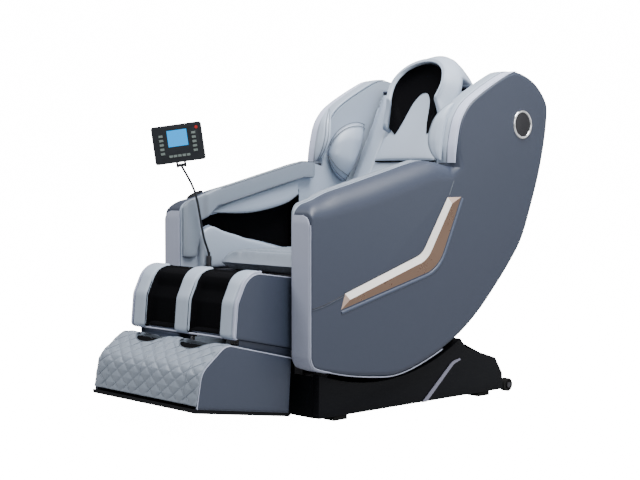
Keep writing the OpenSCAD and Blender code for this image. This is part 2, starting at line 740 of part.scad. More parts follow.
// depth of a ridge: full in front, shallow over the hinge shaft
function reach_at(t) = lookup(t, [[0.6, 1], [0.78, 0.42]]) * well_depth;
module ridge(x0, x1, lap = false, m = 8) {
  last = len(calf_path) - 1;
  loft([
    for (k = [0:last])
      let (q = calf_path[k], reach = lap ? ridge_cheek - slack : reach_at(k / last),
           e = k == 0 || k == last ? 3 : 0)
        [for (j = [0:m - 1])
          let (b = box_round(j, m, 0.5), p = inset(q, reach / 2 + (reach / 2 - e) * b[1]))
            [(x0 + x1) / 2 + ((x1 - x0) / 2 - e) * b[0], p[0], p[1]]]
  ]);
}
well_x0 = ridge_w / 2;
well_x1 = leg_x - ridge_w;
module calf_ridges() {
  color("gainsboro") {
    ridge(-well_x0, well_x0);
    // the outer ridges sit inside the cheeks, and their piping laps over the cheek edges
    both_sides() ridge(well_x1, leg_x - leg_wall - slack);
    both_sides() ridge(leg_x - leg_wall + slack, leg_x + 1, true, 6);
  }
}
// a well is a fabric trough whose sides line the ridges
well_lip = 5;
well_cloth = 5;
module calf_wells() {
  last = len(calf_path) - 1;
  x0 = well_x0 + slack;
  x1 = well_x1 - slack;
  color("black")
    both_sides()
      loft([
        for (k = [0:last])
          let (q = calf_path[k], r = reach_at(k / last), a = inset(q, well_lip), b = inset(q, r - 1),
               c = inset(q, max(r - 9, well_lip)))
            [[x0, a[0], a[1]], [x0, b[0], b[1]], [x1, b[0], b[1]], [x1, a[0], a[1]],
             [x1 - well_cloth, a[0], a[1]], [x1 - well_cloth - 8, c[0], c[1]],
             [x0 + well_cloth + 8, c[0], c[1]], [x0 + well_cloth, a[0], a[1]]]
      ], false, [[6, 1, 0], [7, 6, 0], [5, 2, 1], [6, 5, 1], [5, 3, 2], [5, 4, 3]]);
}
// steel frame in the leg rest, on the hinge shaft, with the sleeves of the foot runners
sleeve_d = runner_d + 14;
sleeve_low = -20;
sleeve_high = 70;
module calf_frame() {
  color("dimgray")
    difference() {
      union() {
        bar_x(leg_shaft_d, board_x - 0.5, hinge_y, hinge_z);
        along_leg() translate([0, 0, sleeve_low]) cylinder(d = sleeve_d, h = sleeve_high - sleeve_low);
        // hanger plates from the shaft to the sleeves
        for (s = [-1, 1])
          yz(s * (runner_x - sleeve_d / 2 - 1) - 4, 8)
            strut_2d([hinge_y, hinge_z], [runner_y + 4, runner_z + 20], 34);
        bar_x(sleeve_d / 2, leg_x - leg_wall, runner_y + 4, runner_z + 20);
      }
      along_leg() translate([0, 0, sleeve_low - 1]) cylinder(d = runner_d + 2 * run, h = 200);
    }
}

// ---------------------------------------------------------------- foot unit
foot_corners = [
  [-389, 24, 10], [-376, 214, 10], [-560, 258, 60], [-655, 283, 60], [-756, 206, 80], [-780, 80, 8]
];
foot_outline = rounded(foot_corners, 4);
foot_front = reversed([for (i = [14:26]) foot_outline[i]]);
foot_low = [-775.8, 102];             // where the pad starts above the bottom plate
foot_rear = [-520, 248.4];            // and ends on top
foot_path = stations(fill(concat([foot_low], [for (p = foot_front) if (p[1] > foot_low[1] + 8) p],
                                 [foot_rear]), 40));
module foot_2d(d) {
  offset(delta = -d) polygon(foot_outline);
}
foot_edge = 12;
plate_line = [[-389, 36], [-773, 92]];
module foot_bottom_cut() {
  d = unit(plate_line[1] - plate_line[0]);
  a = plate_line[0] - d * 90;
  b = plate_line[1] + d * 90;
  polygon([a, b, [b[0], -60], [a[0], -60]]);
}
module foot_shell() {
  inner = leg_x - leg_wall;
  color("slategray")
    difference() {
      union() {
        both_sides() yz(inner, leg_wall) foot_2d(foot_edge);
        difference() {
          yz(-inner, 2 * inner) foot_2d(foot_edge);
          yz(-inner - 1, 2 * inner + 2) foot_2d(foot_edge + 5);
          // open at the front, behind the pad
          translate([-inner, -900, 0]) cube([2 * inner, 900 + foot_rear[0] + 6, 400]);
        }
      }
      yz(-leg_x - 1, 2 * leg_x + 2) foot_bottom_cut();
      both_sides() translate([0, 0, 100]) linear_extrude(300) foot_well_2d(0);
      along_leg() translate([0, 0, -200]) cylinder(d = runner_d + 2 * run, h = 300);
    }
}
foot_well_y0 = -588;
foot_well_y1 = -436;
foot_well_x = (well_x0 + well_x1) / 2;
module foot_well_2d(d) {
  h = foot_well_w / 2 + d;
  translate([foot_well_x, 0])
    polygon(rounded([[-h, foot_well_y0 - d, 50], [h, foot_well_y0 - d, 50], [h, foot_well_y1 + d, 20],
                     [-h, foot_well_y1 + d, 20]], 5));
}
module foot_wells() {
  color("black")
    both_sides()
      intersection() {
        difference() {
          translate([0, 0, 90]) linear_extrude(300) foot_well_2d(-0.2);
          translate([0, 0, 96]) linear_extrude(300) foot_well_2d(-4);
        }
        yz(-leg_x, 2 * leg_x) foot_2d(foot_edge);
      }
}
module foot_plate() {
  color("black")
    yz(-leg_x + 1, 2 * leg_x - 2)
      intersection() {
        polygon(foot_outline);
        foot_bottom_cut();
      }
}
// columns of the foot pad: thin where it laps over the cheeks, deep between them
foot_pad_deep = 22;
function foot_pad_x(i, n) =
  let (k = min(i, n - i), s = i < n / 2 ? -1 : 1)
    k == 0 ? s * (leg_x + 1) : k == 1 ? s * (leg_x - 2) : k == 2 ? s * (leg_x - leg_wall - slack)
    : k == 3 ? s * (leg_x - leg_wall - 1.5)
    : (leg_x - leg_wall - 1.5) * (i - n / 2) / (n / 2 - 3);
module foot_pad() {
  n = 30;
  m = 14;
  color("gainsboro")
    padded(n, m, function (u, v, side)
      let (i = round(u * n), x = foot_pad_x(i, n), k = min(i, n - i),
           near = abs(abs(x) - foot_well_x) / (foot_well_w / 2 + 8),
           bite = near < 1 ? 0.26 * sqrt(1 - near * near * near) : 0,
           q = at_share(foot_path, v * (1 - bite)),
           e = crown(i / n, 0.25) * crown(v, 0.25),
           quilt = 3 * (pow(abs(sin(180 * (5 * u + 4 * v))), 6) + pow(abs(sin(180 * (5 * u - 4 * v))), 6)),
           rim = foot_edge / 2,
           h = side > 0 ? rim * (1 - e) + quilt * e * 0.5 : k < 3 ? rim + 4 * e : rim + foot_pad_deep * e,
           p = inset(q, h))
        [x, p[0], p[1]]);
}
module foot_runners() {
  color("silver") {
    along_leg() translate([0, 0, -206]) cylinder(d = runner_d, h = 206 + 150);
    // cross bar inside the casing
    p = [runner_y - 206 * sin(leg_tilt), runner_z - 206 * cos(leg_tilt)];
    bar_x(runner_d + 2, leg_x - leg_wall, p[0], p[1]);
  }
}

// ---------------------------------------------------------------- massage carriage
carriage_s = 150;
carriage_half = track_x - 14;
arm_x = 62;
arm_t = 12;
swing_d = 100;
swing_pin = 14;
roller_s = 70;
roller_depth = 58;
module carriage() {
  color("dimgray")
    on_back()
      difference() {
        union() {
          // cheeks, back block and motor cans
          both_sides() {
            translate([carriage_half - 10, track_d0 + 5.3, carriage_s - 42]) cube([10, 84, 84]);
            translate([carriage_half - 1, track_d0 + 5.3, carriage_s - 40])
              cube([track_x + 10 - carriage_half, 10, 80]);
          }
          translate([-carriage_half, swing_d + 24, carriage_s - 42]) cube([2 * carriage_half, 26, 84]);
          bar_x(52, 60, swing_d + 60, carriage_s);
        }
        translate([-carriage_half - 20, swing_d, carriage_s]) rotate([0, 90, 0])
          cylinder(d = swing_pin + 2 * run, h = 2 * carriage_half + 40);
      }
}
module massage_arm_2d() {
  strut_2d([swing_d, carriage_s], [roller_depth, carriage_s + roller_s], 22);
  strut_2d([swing_d, carriage_s], [roller_depth, carriage_s - roller_s], 22);
  translate([roller_depth, carriage_s + roller_s]) circle(d = 24);
  translate([roller_depth, carriage_s - roller_s]) circle(d = 24);
  translate([swing_d, carriage_s]) circle(d = 34);
}
module massage_arms() {
  color("gray")
    on_back()
      difference() {
        union() {
          for (s = [-1, 1]) yz(s > 0 ? arm_x : -arm_x - arm_t, arm_t) massage_arm_2d();
          bar_x(26, arm_x + 1, swing_d, carriage_s);
          bar_x(swing_pin, carriage_half - 0.5, swing_d, carriage_s);
        }
        for (s = [-1, 1])
          bar_x(massage_axle + 2 * run, arm_x + arm_t + 4, roller_depth, carriage_s + s * roller_s);
      }
}
module massage_rollers(s) {
  color("dimgray")
    on_back() {
      bar_x(massage_axle, arm_x + arm_t + 2 + massage_w, roller_depth, carriage_s + s * roller_s);
      for (k = [-1, 1])
        stub_x(massage_d, k > 0 ? arm_x + arm_t + 1 : -arm_x - arm_t - 1 - massage_w,
               k > 0 ? arm_x + arm_t + 1 + massage_w : -arm_x - arm_t - 1, roller_depth,
               carriage_s + s * roller_s);
    }
}

// ---------------------------------------------------------------- base
skirt_arc = [for (k = [0:14]) on_rocker(skirt_r, -20.2 + (30.6 + 20.2) * k / 14)];
module skirt_2d() {
  polygon(concat([[base_front, skirt_z]], skirt_arc, [
    [381, 184], [540, 134], [base_rear - 4, 76], [base_rear, skirt_z]
  ]));
}
module skirt(s) {
  color("black")
    on_side(s)
      difference() {
        yz(base_x - skirt_d, skirt_d) skirt_2d();
        yz(base_x - skirt_d - 1, skirt_d - skirt_wall + 1) offset(delta = -skirt_wall) skirt_2d();
      }
}
stripe_low = [163, skirt_z];
stripe_high = [316, 141];
module skirt_stripes() {
  color("gray")
    both_sides()
      yz(base_x, 3) {
        polygon([stripe_low, stripe_low + [14, 0], stripe_high + [8, -6], stripe_high]);
      }
}
inner_base_x = base_x - skirt_d;
module front_cover() {
  color("black")
    translate([-inner_base_x, base_front, skirt_z]) cube([2 * inner_base_x, skirt_wall, 134]);
}
inlet_x = 150;
inlet_w = 30;
inlet_z = 22;
inlet_h = 50;
rocker_pin = 3;
rocker_z = inlet_z + 37;              // height of the rocker's pivot
rocker_y = base_rear - 4.5;
module base_rear_cover() {
  rear = [[381, 184], [540, 134], [base_rear - 4, 76], [base_rear, skirt_z]];
  inner = [
    [base_rear - skirt_wall, skirt_z], [base_rear - 4 - skirt_wall, 74], [538, 134 - skirt_wall - 1],
    [381, 184 - skirt_wall - 1]
  ];
  color("black")
    difference() {
      yz(-inner_base_x, 2 * inner_base_x) polygon(concat(rear, inner));
      // openings for the inlet block and the wheel arms
      translate([inlet_x - inlet_w / 2, base_rear - 50, inlet_z]) cube([inlet_w, 80, inlet_h]);
      both_sides()
        translate([frame_x - wheel_arm - slack, base_rear - 50, 0])
          cube([wheel_arm + 2 * slack, 80, foot_h + tube_h + slack]);
    }
}
foot_spots = [-223, 487];
module base_frame() {
  z0 = foot_h;
  front_in = base_front + skirt_wall;
  color("dimgray")
    difference() {
      union() {
        both_sides() {
          translate([frame_x - tube_w, front_in, z0]) cube([tube_w, 540 - front_in, tube_h]);
          // bearing plates of the rail rollers
          for (a = roller_angles) {
            p = on_rocker(roller_reach, a);
            translate([rail_x + rail_w / 2 + 3, p[0] - 20, z0 + tube_h - 0.01])
              cube([plate_t, 40, p[1] + 18 - z0 - tube_h]);
          }
          // arm and pin of a transport wheel
          translate([frame_x - wheel_arm, 500, z0]) cube([wheel_arm, wheel_y + 12 - 500, tube_h]);
          stub_x(wheel_pin, frame_x - 1, frame_x + wheel_w + 2, wheel_y, wheel_z);
          stub_x(wheel_pin + 8, frame_x + wheel_w + 1.4, frame_x + 5 + wheel_w, wheel_y, wheel_z);
        }
        for (y = [front_in, 60, 505])
          translate([-frame_x + 5, y, z0]) cube([2 * frame_x - 10, 35, tube_h]);
        translate([-34, front_in + 30, z0]) cube([68, 35 - front_in, tube_h]);
        // tower of the tilt drive
        for (x = [-34, 26]) yz(x, 8) strut_2d([drive_foot[0], z0 + 10], drive_foot, 44);
      }
      both_sides()
        for (a = roller_angles) {
          p = on_rocker(roller_reach, a);
          stub_x(axle_d + 2 * run, rail_x, rail_x + 40, p[0], p[1]);
        }
    }
}
module rail_rollers(a) {
  p = on_rocker(roller_reach, a);
  color("dimgray") {
    bar_x(axle_d, rail_x + rail_w / 2 + 3 + plate_t + 2, p[0], p[1]);
    both_sides() stub_x(roller_d, rail_x - rail_w / 2, rail_x + rail_w / 2, p[0], p[1]);
  }
}
module feet() {
  color("black")
    both_sides()
      for (y = foot_spots)
        translate([frame_x - 30, y - 30, 0])
          cube([50, 60, foot_h]);
}
module wheel(s) {
  color("dimgray")
    on_side(s)
      translate([frame_x + 0.7, wheel_y, wheel_z]) rotate([0, 90, 0])
        difference() {
          cylinder(d = wheel_d, h = wheel_w);
          translate([0, 0, -1]) cylinder(d = wheel_pin + 2 * run, h = wheel_w + 2);
          translate([0, 0, wheel_w - 4]) cylinder(d = wheel_d - 14, h = 10);
        }
}
// tilt drive: a fixed tube whose rod ends in a slotted head on the capsule's lug pin
drive_along = [cos(lug_mid), sin(lug_mid)];
drive_out = [sin(lug_mid), -cos(lug_mid)];
drive_bow = lug_r * (1 - cos(tilt_max / 2)) / 2;
drive_end = lug + drive_out * drive_bow;             // rod head at rest
drive_stroke = 2 * lug_r * sin(tilt_max / 2);
drive_len = 512;
slot_half = drive_bow + 1;
drive_foot = drive_end - drive_along * drive_len;
module along_drive() {
  translate([0, drive_foot[0], drive_foot[1]]) rotate([lug_mid, 0, 0]) rotate([-90, 0, 0]) children();
}
module tilt_actuator() {
  tube_len = drive_len - drive_stroke - 26;
  color("gray")
    along_drive()
      difference() {
        union() {
          translate([0, 0, -10]) cylinder(d = 42, h = tube_len + 10);
          translate([-26, -24, -10]) cube([52, 48, 70]);
          translate([0, -34, 20]) cylinder(d = 40, h = 90);
        }
        translate([0, 0, 20]) cylinder(d = 22 + 2 * run, h = tube_len);
      }
}
module tilt_rod() {
  color("silver")
    along_drive()
      difference() {
        union() {
          translate([0, 0, 24 + drive_stroke]) cylinder(d = 22, h = drive_len - 24 - drive_stroke - 8);
          translate([-14, -19, drive_len - 14]) cube([28, 38, 28]);
        }
        // cross slot for the lug pin
        translate([-20, 0, drive_len]) rotate([0, 90, 0])
          linear_extrude(40) {
            for (k = [-1, 1]) translate([0, k * slot_half]) circle(d = lug_pin + 2);
            translate([-lug_pin / 2 - 1, -slot_half]) square([lug_pin + 2, 2 * slot_half]);
          }
      }
}
module power_inlet() {
  color("black")
    difference() {
      translate([inlet_x - inlet_w / 2, base_rear - 34, inlet_z]) cube([inlet_w, 34, inlet_h]);
      // socket below, bay of the rocker above
      translate([inlet_x - 11, base_rear - 20, inlet_z + 5]) cube([22, 40, 16]);
      translate([inlet_x - 9.3, rocker_y - 9, rocker_z - 10.2]) cube([18.6, 30, 20.4]);
      translate([inlet_x, 0, 0]) bar_x(rocker_pin + 2 * run, 12, rocker_y, rocker_z);
    }
}
module power_switch() {
  color("firebrick") {
    translate([inlet_x - 9, rocker_y - 5, rocker_z - 8]) cube([18, 10, 16]);
    translate([inlet_x, 0, 0]) bar_x(rocker_pin, 11.5, rocker_y, rocker_z);
  }
}

// ---------------------------------------------------------------- remote
stalk_route = [
  [stalk_x, -307, 508], [stalk_x, -312, 530], [stalk_x - 1, -331, 583], [stalk_x - 1, -365, 729],
  [stalk_x - 2.6, -419, 818], [stalk_x - 2.3, -423.0, 825.7]
];
pivot_d = 5;
tablet_yaw = 50;
tablet_roll = -8;
tablet_at = [stalk_x - 9, -431, 900];
module on_tablet() {
  translate(tablet_at) rotate([0, 0, tablet_yaw]) rotate([0, tablet_roll, 0]) children();
}
module remote_stalk() {
  n = 18;
  m = 10;
  color("black") {
    translate([stalk_x, stalk_y, cross_z + 20]) cylinder(d = stalk_d + 2, h = 62);
    loft([
      for (k = [0:n])
        let (t = k / n, p = on_chain(stalk_route, t), q = on_chain(stalk_route, min(t + 0.01, 1)),
             o = on_chain(stalk_route, max(t - 0.01, 0)), d = unit(q - o), u = unit(cross(d, [1, 0, 0])),
             w = cross(d, u))
          [for (j = [0:m - 1]) p + (u * cos(360 * j / m) + w * sin(360 * j / m)) * stalk_d / 2]
    ]);
    on_tablet() translate([0, 0, -tablet_h / 2 - 10]) {
      bar_x(11, 9.6, 0, 0);
      bar_x(pivot_d, 16.5, 0, 0);
    }
  }
}
module tablet_case() {
  color("black")
    on_tablet() {
      difference() {
        translate([0, tablet_t / 2, 0]) rotate([90, 0, 0])
          linear_extrude(tablet_t) polygon(rounded([
            [-tablet_w / 2, -tablet_h / 2, 8], [tablet_w / 2, -tablet_h / 2, 8],
            [tablet_w / 2, tablet_h / 2, 8], [-tablet_w / 2, tablet_h / 2, 8]], 4));
        // recess of the screen and of the power key
        translate([-34, -tablet_t / 2 - 1, -10]) cube([68, 4, 56]);
        translate([tablet_w / 2 - 18, -tablet_t / 2 - 1, tablet_h / 2 - 18]) rotate([-90, 0, 0])
          cylinder(d = 11, h = 7);
      }
      // ears of the tilt joint
      difference() {
        for (x = [-17, 10]) translate([x, -7, -tablet_h / 2 - 17]) cube([7, 14, 18]);
        translate([0, 0, -tablet_h / 2 - 10]) bar_x(pivot_d + 2 * run, 20, 0, 0);
      }
    }
}
module tablet_screen() {
  color("deepskyblue") on_tablet() translate([-33.8, -tablet_t / 2 - 0.4, -9.8]) cube([67.6, 3.3, 55.6]);
}
module key_pad() {
  color("gray")
    on_tablet()
      translate([0, -tablet_t / 2, 0]) {
        for (s = [-1, 1], k = [0:4])
          translate([s * 56 - 7, -1.5, -34 + 15 * k]) cube([14, 1.5, 8]);
        for (k = [-2:2]) translate([k * 15 - 6, -1.5, -46]) cube([12, 1.5, 8]);
      }
}
module power_key() {
  color("firebrick")
    on_tablet() translate([tablet_w / 2 - 18, -tablet_t / 2 - 2, tablet_h / 2 - 18]) rotate([-90, 0, 0])
      cylinder(d = 10.6, h = 5);
}

base_frame();
skirt(1);  // left_skirt
skirt(-1);  // right_skirt
skirt_stripes();
front_cover();
base_rear_cover();
feet();
tilt_actuator();
power_inlet();
power_switch();
rail_rollers(roller_angles[0]);  // front_rail_rollers
rail_rollers(roller_angles[1]);  // rear_rail_rollers
tilt_rod();
wheel(1);  // left_wheel
wheel(-1);  // right_wheel
seat_frame();
seat_cushion();
side_shell(1);  // left_side_shell
side_shell(-1);  // right_side_shell
inner_board(1);  // left_inner_board
inner_board(-1);  // right_inner_board
arm_front_bands();
wing_edge_bands();
side_strips();
speaker_rings();
speaker_grilles();
arm_pad(1);  // left_arm_pad
arm_pad(-1);  // right_arm_pad
arm_flap(1);  // left_arm_flap
arm_flap(-1);  // right_arm_flap
slot_liner(1);  // left_slot_liner
slot_liner(-1);  // right_slot_liner
lower_pad(1);  // left_lower_pad
lower_pad(-1);  // right_lower_pad
shoulder_bag(1);  // left_shoulder_bag
shoulder_bag(-1);  // right_shoulder_bag
back_frame();
back_pad();
rear_cover();
calf_frame();
calf_shell();
calf_ridges();
calf_wells();
foot_shell();
foot_pad();
foot_wells();
foot_plate();
foot_runners();
pillow_hood();
pillow_bib();
pillow_lining();
carriage();
massage_arms();
massage_rollers(1);  // upper_massage_rollers
massage_rollers(-1);  // lower_massage_rollers
remote_stalk();
tablet_case();
tablet_screen();
key_pad();
power_key();
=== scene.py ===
"""Dresses the capsule massage chair: leather, padding, seams, piping, trim and the stage."""

from functools import partial
from math import acos, ceil, copysign, cos, exp, pi, radians, sin, sqrt, tan, tau

import bmesh
import bpy
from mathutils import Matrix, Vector


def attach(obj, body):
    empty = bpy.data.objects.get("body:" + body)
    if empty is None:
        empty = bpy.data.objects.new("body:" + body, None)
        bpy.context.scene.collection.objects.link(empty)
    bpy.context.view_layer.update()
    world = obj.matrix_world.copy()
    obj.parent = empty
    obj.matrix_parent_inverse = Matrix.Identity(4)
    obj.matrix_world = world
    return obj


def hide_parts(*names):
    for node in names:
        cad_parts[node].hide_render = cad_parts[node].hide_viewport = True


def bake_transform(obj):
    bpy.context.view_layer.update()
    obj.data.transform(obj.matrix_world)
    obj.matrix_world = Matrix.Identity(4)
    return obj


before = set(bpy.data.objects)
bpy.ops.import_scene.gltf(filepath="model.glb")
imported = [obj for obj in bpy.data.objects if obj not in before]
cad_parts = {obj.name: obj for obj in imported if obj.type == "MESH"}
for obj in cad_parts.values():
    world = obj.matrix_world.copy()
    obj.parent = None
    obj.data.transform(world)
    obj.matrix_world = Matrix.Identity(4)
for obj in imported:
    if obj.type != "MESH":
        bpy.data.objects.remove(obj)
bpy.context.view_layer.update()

bl_info = {
    "name": "Capsule massage chair",
    "version": (1, 0, 0),
    "blender": (4, 5, 0),
    "location": "View3D > Sidebar > Chair",
    "description": "Upholstery, trim, base and stage of a capsule massage chair",
    "category": "Add Mesh",
}

MM = 0.001

# ---------------------------------------------------------------- sizes of the frame, in mm
HALF_W = 380.0  # outer face of a side panel
BOARD_X = 290.0  # inner face of a side panel
SHELL_X = 298.0  # mouth of a side shell
SHELL_WALL = 5.0
LEG_X = 270.0  # half width of the leg rest
SLACK = 0.3
PAN_TOP = 462.0
BACK_LEAN = 27.0
BACK_ORIGIN = (234.5, 470.0)
BACK_LEN = 741.0
ARM_PAD_X0 = 262.0
ARM_PAD_X1 = BOARD_X - SLACK
SLAB_H = 57.0
FRONT_Y = -400.0

TRIM_LOW, TRIM_HIGH = 0.4, 5.0  # edge and ridge of the metal trim above the panel
QUILT_X, QUILT_Y = 62.0, 46.0  # diamonds of the foot pad, across and along
FILL_PRESSURE, FILL_FRAMES = 4.0, 20  # cloth filling of the stuffed pads

# camera: place in m, turn and drop in degrees, focal length over picture width
CAMERA_AT = (3.52975, -3.28201, 0.80908)
CAMERA_TURN, CAMERA_DROP = 47.19, 2.91
FOCAL_SHARE = 1378.42 / 640

# outline of a side panel: y, z, edge rounding
ARM_LINE = [
    (270, 822, 52), (215, 836, 68), (151, 838, 74), (8, 804, 76), (-164, 761, 76),
    (-263, 737, 70), (-325, 714, 58), (-372, 700, 46), (-394, 682, 28), (-400, 664, 12),
    (-400, 640, 5),
]
BOTTOM_LINE = [
    (-400, 222, 5), (-392, 200, 6), (-368, 184, 8), (-247, 154, 14), (-120, 136, 18),
    (-27, 131, 18), (70, 148, 18), (193, 190, 18), (307, 246, 18), (400, 312, 18),
    (477, 382, 18), (563, 469, 18), (636, 560, 18), (691, 682, 18), (735, 800, 18),
    (766, 920, 18), (779, 1024, 18), (762, 1072, 18), (714, 1119, 18), (660, 1146, 18),
]
WING_LINE = [
    (606, 1159, 18), (566, 1152, 12), (513, 1130, 8), (415, 1080, 8), (345, 1035, 8),
    (305, 985, 8), (287, 930, 10), (276, 872, 24),
]
CALF_CORNERS = [
    (-334, 228, 12), (-334, 466, 20), (-352, 473, 26), (-566, 503, 78), (-616, 400, 60),
    (-626, 290, 16),
]
FOOT_CORNERS = [
    (-389, 24, 10), (-376, 214, 10), (-560, 258, 60), (-655, 283, 60), (-756, 206, 80),
    (-780, 80, 8),
]


# ---------------------------------------------------------------- lines
def catmull(a, b, c, d, t):
    return tuple(
        0.5 * (2 * q + (r - p) * t + (2 * p - 5 * q + 4 * r - s) * t * t + (3 * q - p - 3 * r + s) * t**3)
        for p, q, r, s in zip(a, b, c, d)
    )


def smooth_chain(points, steps):
    """A smooth line through the points, steps to a span."""
    last = len(points) - 1
    line = []
    for i in range(last):
        a, d = points[max(i - 1, 0)], points[min(i + 2, last)]
        line += [catmull(a, points[i], points[i + 1], d, k / steps) for k in range(steps)]
    return line + [tuple(points[-1])]


def corner_sides(corners, i):
    """Corner i of a closed outline: its place, the ways along its sides and half its angle."""
    p = Vector(corners[i][:2])
    u = (Vector(corners[i - 1][:2]) - p).normalized()
    v = (Vector(corners[(i + 1) % len(corners)][:2]) - p).normalized()
    return p, u, v, acos(max(-1, min(1, u.dot(v)))) / 2


def rounded(corners, steps=8):
    """Corners (y, z, radius) of a closed outline, each turned into an arc."""
    line = []
    for i, (_, _, r) in enumerate(corners):
        p, u, v, half = corner_sides(corners, i)
        middle = p + (u + v).normalized() * (r / sin(half))
        start, end = p + u * (r / tan(half)), p + v * (r / tan(half))
        for k in range(steps + 1):
            w = (start - middle).lerp(end - middle, k / steps)
            line.append(tuple(middle + w.normalized() * r))
    return line


def resample(line, step):
    """The line, flat or not, with points about step apart."""
    out = []
    for p, q in zip(line, line[1:]):
        p, q = Vector(p), Vector(q)
        n = max(1, ceil((q - p).length / step))
        out += [tuple(p.lerp(q, k / n)) for k in range(n)]
    return out + [tuple(line[-1])]


def right_normals(line):
    """Mitred normals on the right of an open line in y and z."""
    out = []
    for i in range(len(line)):
        j, k = max(i, 1), min(i + 1, len(line) - 1)
        a = (Vector(line[j]) - Vector(line[j - 1])).normalized()
        b = (Vector(line[k]) - Vector(line[k - 1])).normalized()
        m = (a + b).normalized()
        c = max(m.dot(b), 0.3)
        out.append((m.y / c, -m.x / c))
    return out


class Track:
    """An open line in y and z with a normal at each share of it."""

    def __init__(self, line):
        self.line = line
        self.sides = right_normals(line)
        self.length = sum((Vector(q) - Vector(p)).length for p, q in zip(line, line[1:]))
        self.at = [0.0]
        for p, q in zip(line, line[1:]):
            self.at.append(self.at[-1] + (Vector(q) - Vector(p)).length / self.length)

    def point(self, share, depth=0.0):
        """The point at that share of the line, depth to its right."""
        t = clamped(share)
        low, high = 0, len(self.at) - 1
        while high - low > 1:
            i = (low + high) // 2
            low, high = (i, high) if self.at[i] <= t else (low, i)
        span = self.at[low + 1] - self.at[low]
        w = (t - self.at[low]) / span if span else 0
        p = Vector(self.line[low]).lerp(Vector(self.line[low + 1]), w)
        n = Vector(self.sides[low]).lerp(Vector(self.sides[low + 1]), w)
        return p + n * depth


def table(x, rows):
    """Straight-line lookup of x in rows of (x, value)."""
    if x <= rows[0][0]:
        return rows[0][1]
    for (a, p), (b, q) in zip(rows, rows[1:]):
        if x <= b:
            return p + (q - p) * (x - a) / (b - a)
    return rows[-1][1]


def crown(t, power=0.42):
    """1 in the middle of a span from 0 to 1, falling steeply to 0 at its ends."""
    return min(1.0, 1.06 * max(0.0, 4 * t * (1 - t)) ** power)


def bell(x, width):
    """1 at 0, fading out over the width."""
    return exp(-((x / width) ** 2))


def ending(t, width):
    """1 at both ends of a span from 0 to 1, fading out over the width."""
    return max(bell(t, width), bell(1 - t, width))


def clamped(x):
    """x held between 0 and 1."""
    return min(1.0, max(0.0, x))


def between(a, b, c):
    """From a at -1 to b at 1."""
    return (a + b) / 2 + (b - a) / 2 * c


def box_point(turn, power):
    """A point on a rounded box of half size 1, at that share of a turn."""
    c, s = cos(tau * turn), sin(tau * turn)
    return (copysign(abs(c) ** power, c), copysign(abs(s) ** power, s))


def back_point(x, depth, along):
    """A point of the backrest: across, behind its front face, along its slope."""
    a = radians(BACK_LEAN)
    return (
        x,
        BACK_ORIGIN[0] + along * sin(a) + depth * cos(a),
        BACK_ORIGIN[1] + along * cos(a) - depth * sin(a),
    )


def arm_top(y):
    """The height of the arm's top edge at y."""
    return table(y, [(p[0], p[1]) for p in reversed(ARM_LINE)])


# ---------------------------------------------------------------- meshes
def meshed(name, bm):
    """The bmesh as a mesh; the bmesh is freed."""
    mesh = bpy.data.meshes.new(name)
    bm.to_mesh(mesh)
    bm.free()
    return mesh


def added(name, data):
    """A new object for the data, in the scene."""
    obj = bpy.data.objects.new(name, data)
    bpy.context.scene.collection.objects.link(obj)
    return obj


def only(parts, kind):
    """The parts of a bmesh result that are of one kind."""
    return [p for p in parts if isinstance(p, kind)]


def skirted(bm, x):
    """The sheet with its rim drawn straight back to x and closed, and its mirror image."""
    rim = [e for e in bm.edges if e.is_boundary]
    skirt = bmesh.ops.extrude_edge_only(bm, edges=rim)["geom"]
    for v in only(skirt, bmesh.types.BMVert):
        v.co.x = x * MM
    return mirrored(closed(bm))


def surface(nu, nv, place):
    """A grid of nu by nv cells whose corners move to place(u, v), with its seams and poles merged."""
    bm = bmesh.new()
    bmesh.ops.create_grid(bm, x_segments=nu, y_segments=nv, size=0.5)
    for v in bm.verts:
        v.co = Vector(place(v.co.x + 0.5, v.co.y + 0.5)) * MM
    bmesh.ops.remove_doubles(bm, verts=bm.verts, dist=1e-6)
    return bm


def closed(bm):
    """Fills the open loops and turns the faces outwards."""
    bmesh.ops.holes_fill(bm, edges=bm.edges, sides=0)
    bmesh.ops.recalc_face_normals(bm, faces=bm.faces)
    return bm


def rings(nu, nv, place):
    """A closed skin over rings place(u, v): u runs round each ring and v from ring to ring."""
    return closed(surface(nu, nv, lambda u, v: place(u % 1.0, v)))


def pillow(nu, nv, place):
    """Two faces place(u, v, side) that meet along their rim."""
    bm = bmesh.new()
    for side in (1, -1):
        half = meshed("half", surface(nu, nv, lambda u, v: place(u, v, side)))
        bm.from_mesh(half)
        bpy.data.meshes.remove(half)
    bmesh.ops.remove_doubles(bm, verts=bm.verts, dist=1e-6)
    bmesh.ops.recalc_face_normals(bm, faces=bm.faces)
    return bm


def mirrored(bm):
    """The mesh with its mirror image across the middle of the chair."""
    both = bmesh.ops.duplicate(bm, geom=bm.verts[:] + bm.edges[:] + bm.faces[:])["geom"]
    for v in only(both, bmesh.types.BMVert):
        v.co.x = -v.co.x
    bmesh.ops.reverse_faces(bm, faces=only(both, bmesh.types.BMFace))
    return bm


def turned_over(bm):
    """The mirror image of the mesh across the middle of the chair."""
    for v in bm.verts:
        v.co.x = -v.co.x
    bmesh.ops.reverse_faces(bm, faces=bm.faces)
    return bm


def copied(node):
    """A merged copy of a CAD node's mesh."""
    bm = bmesh.new()
    bm.from_mesh(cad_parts[node].data)
    bmesh.ops.remove_doubles(bm, verts=bm.verts, dist=1e-5)
    return bm


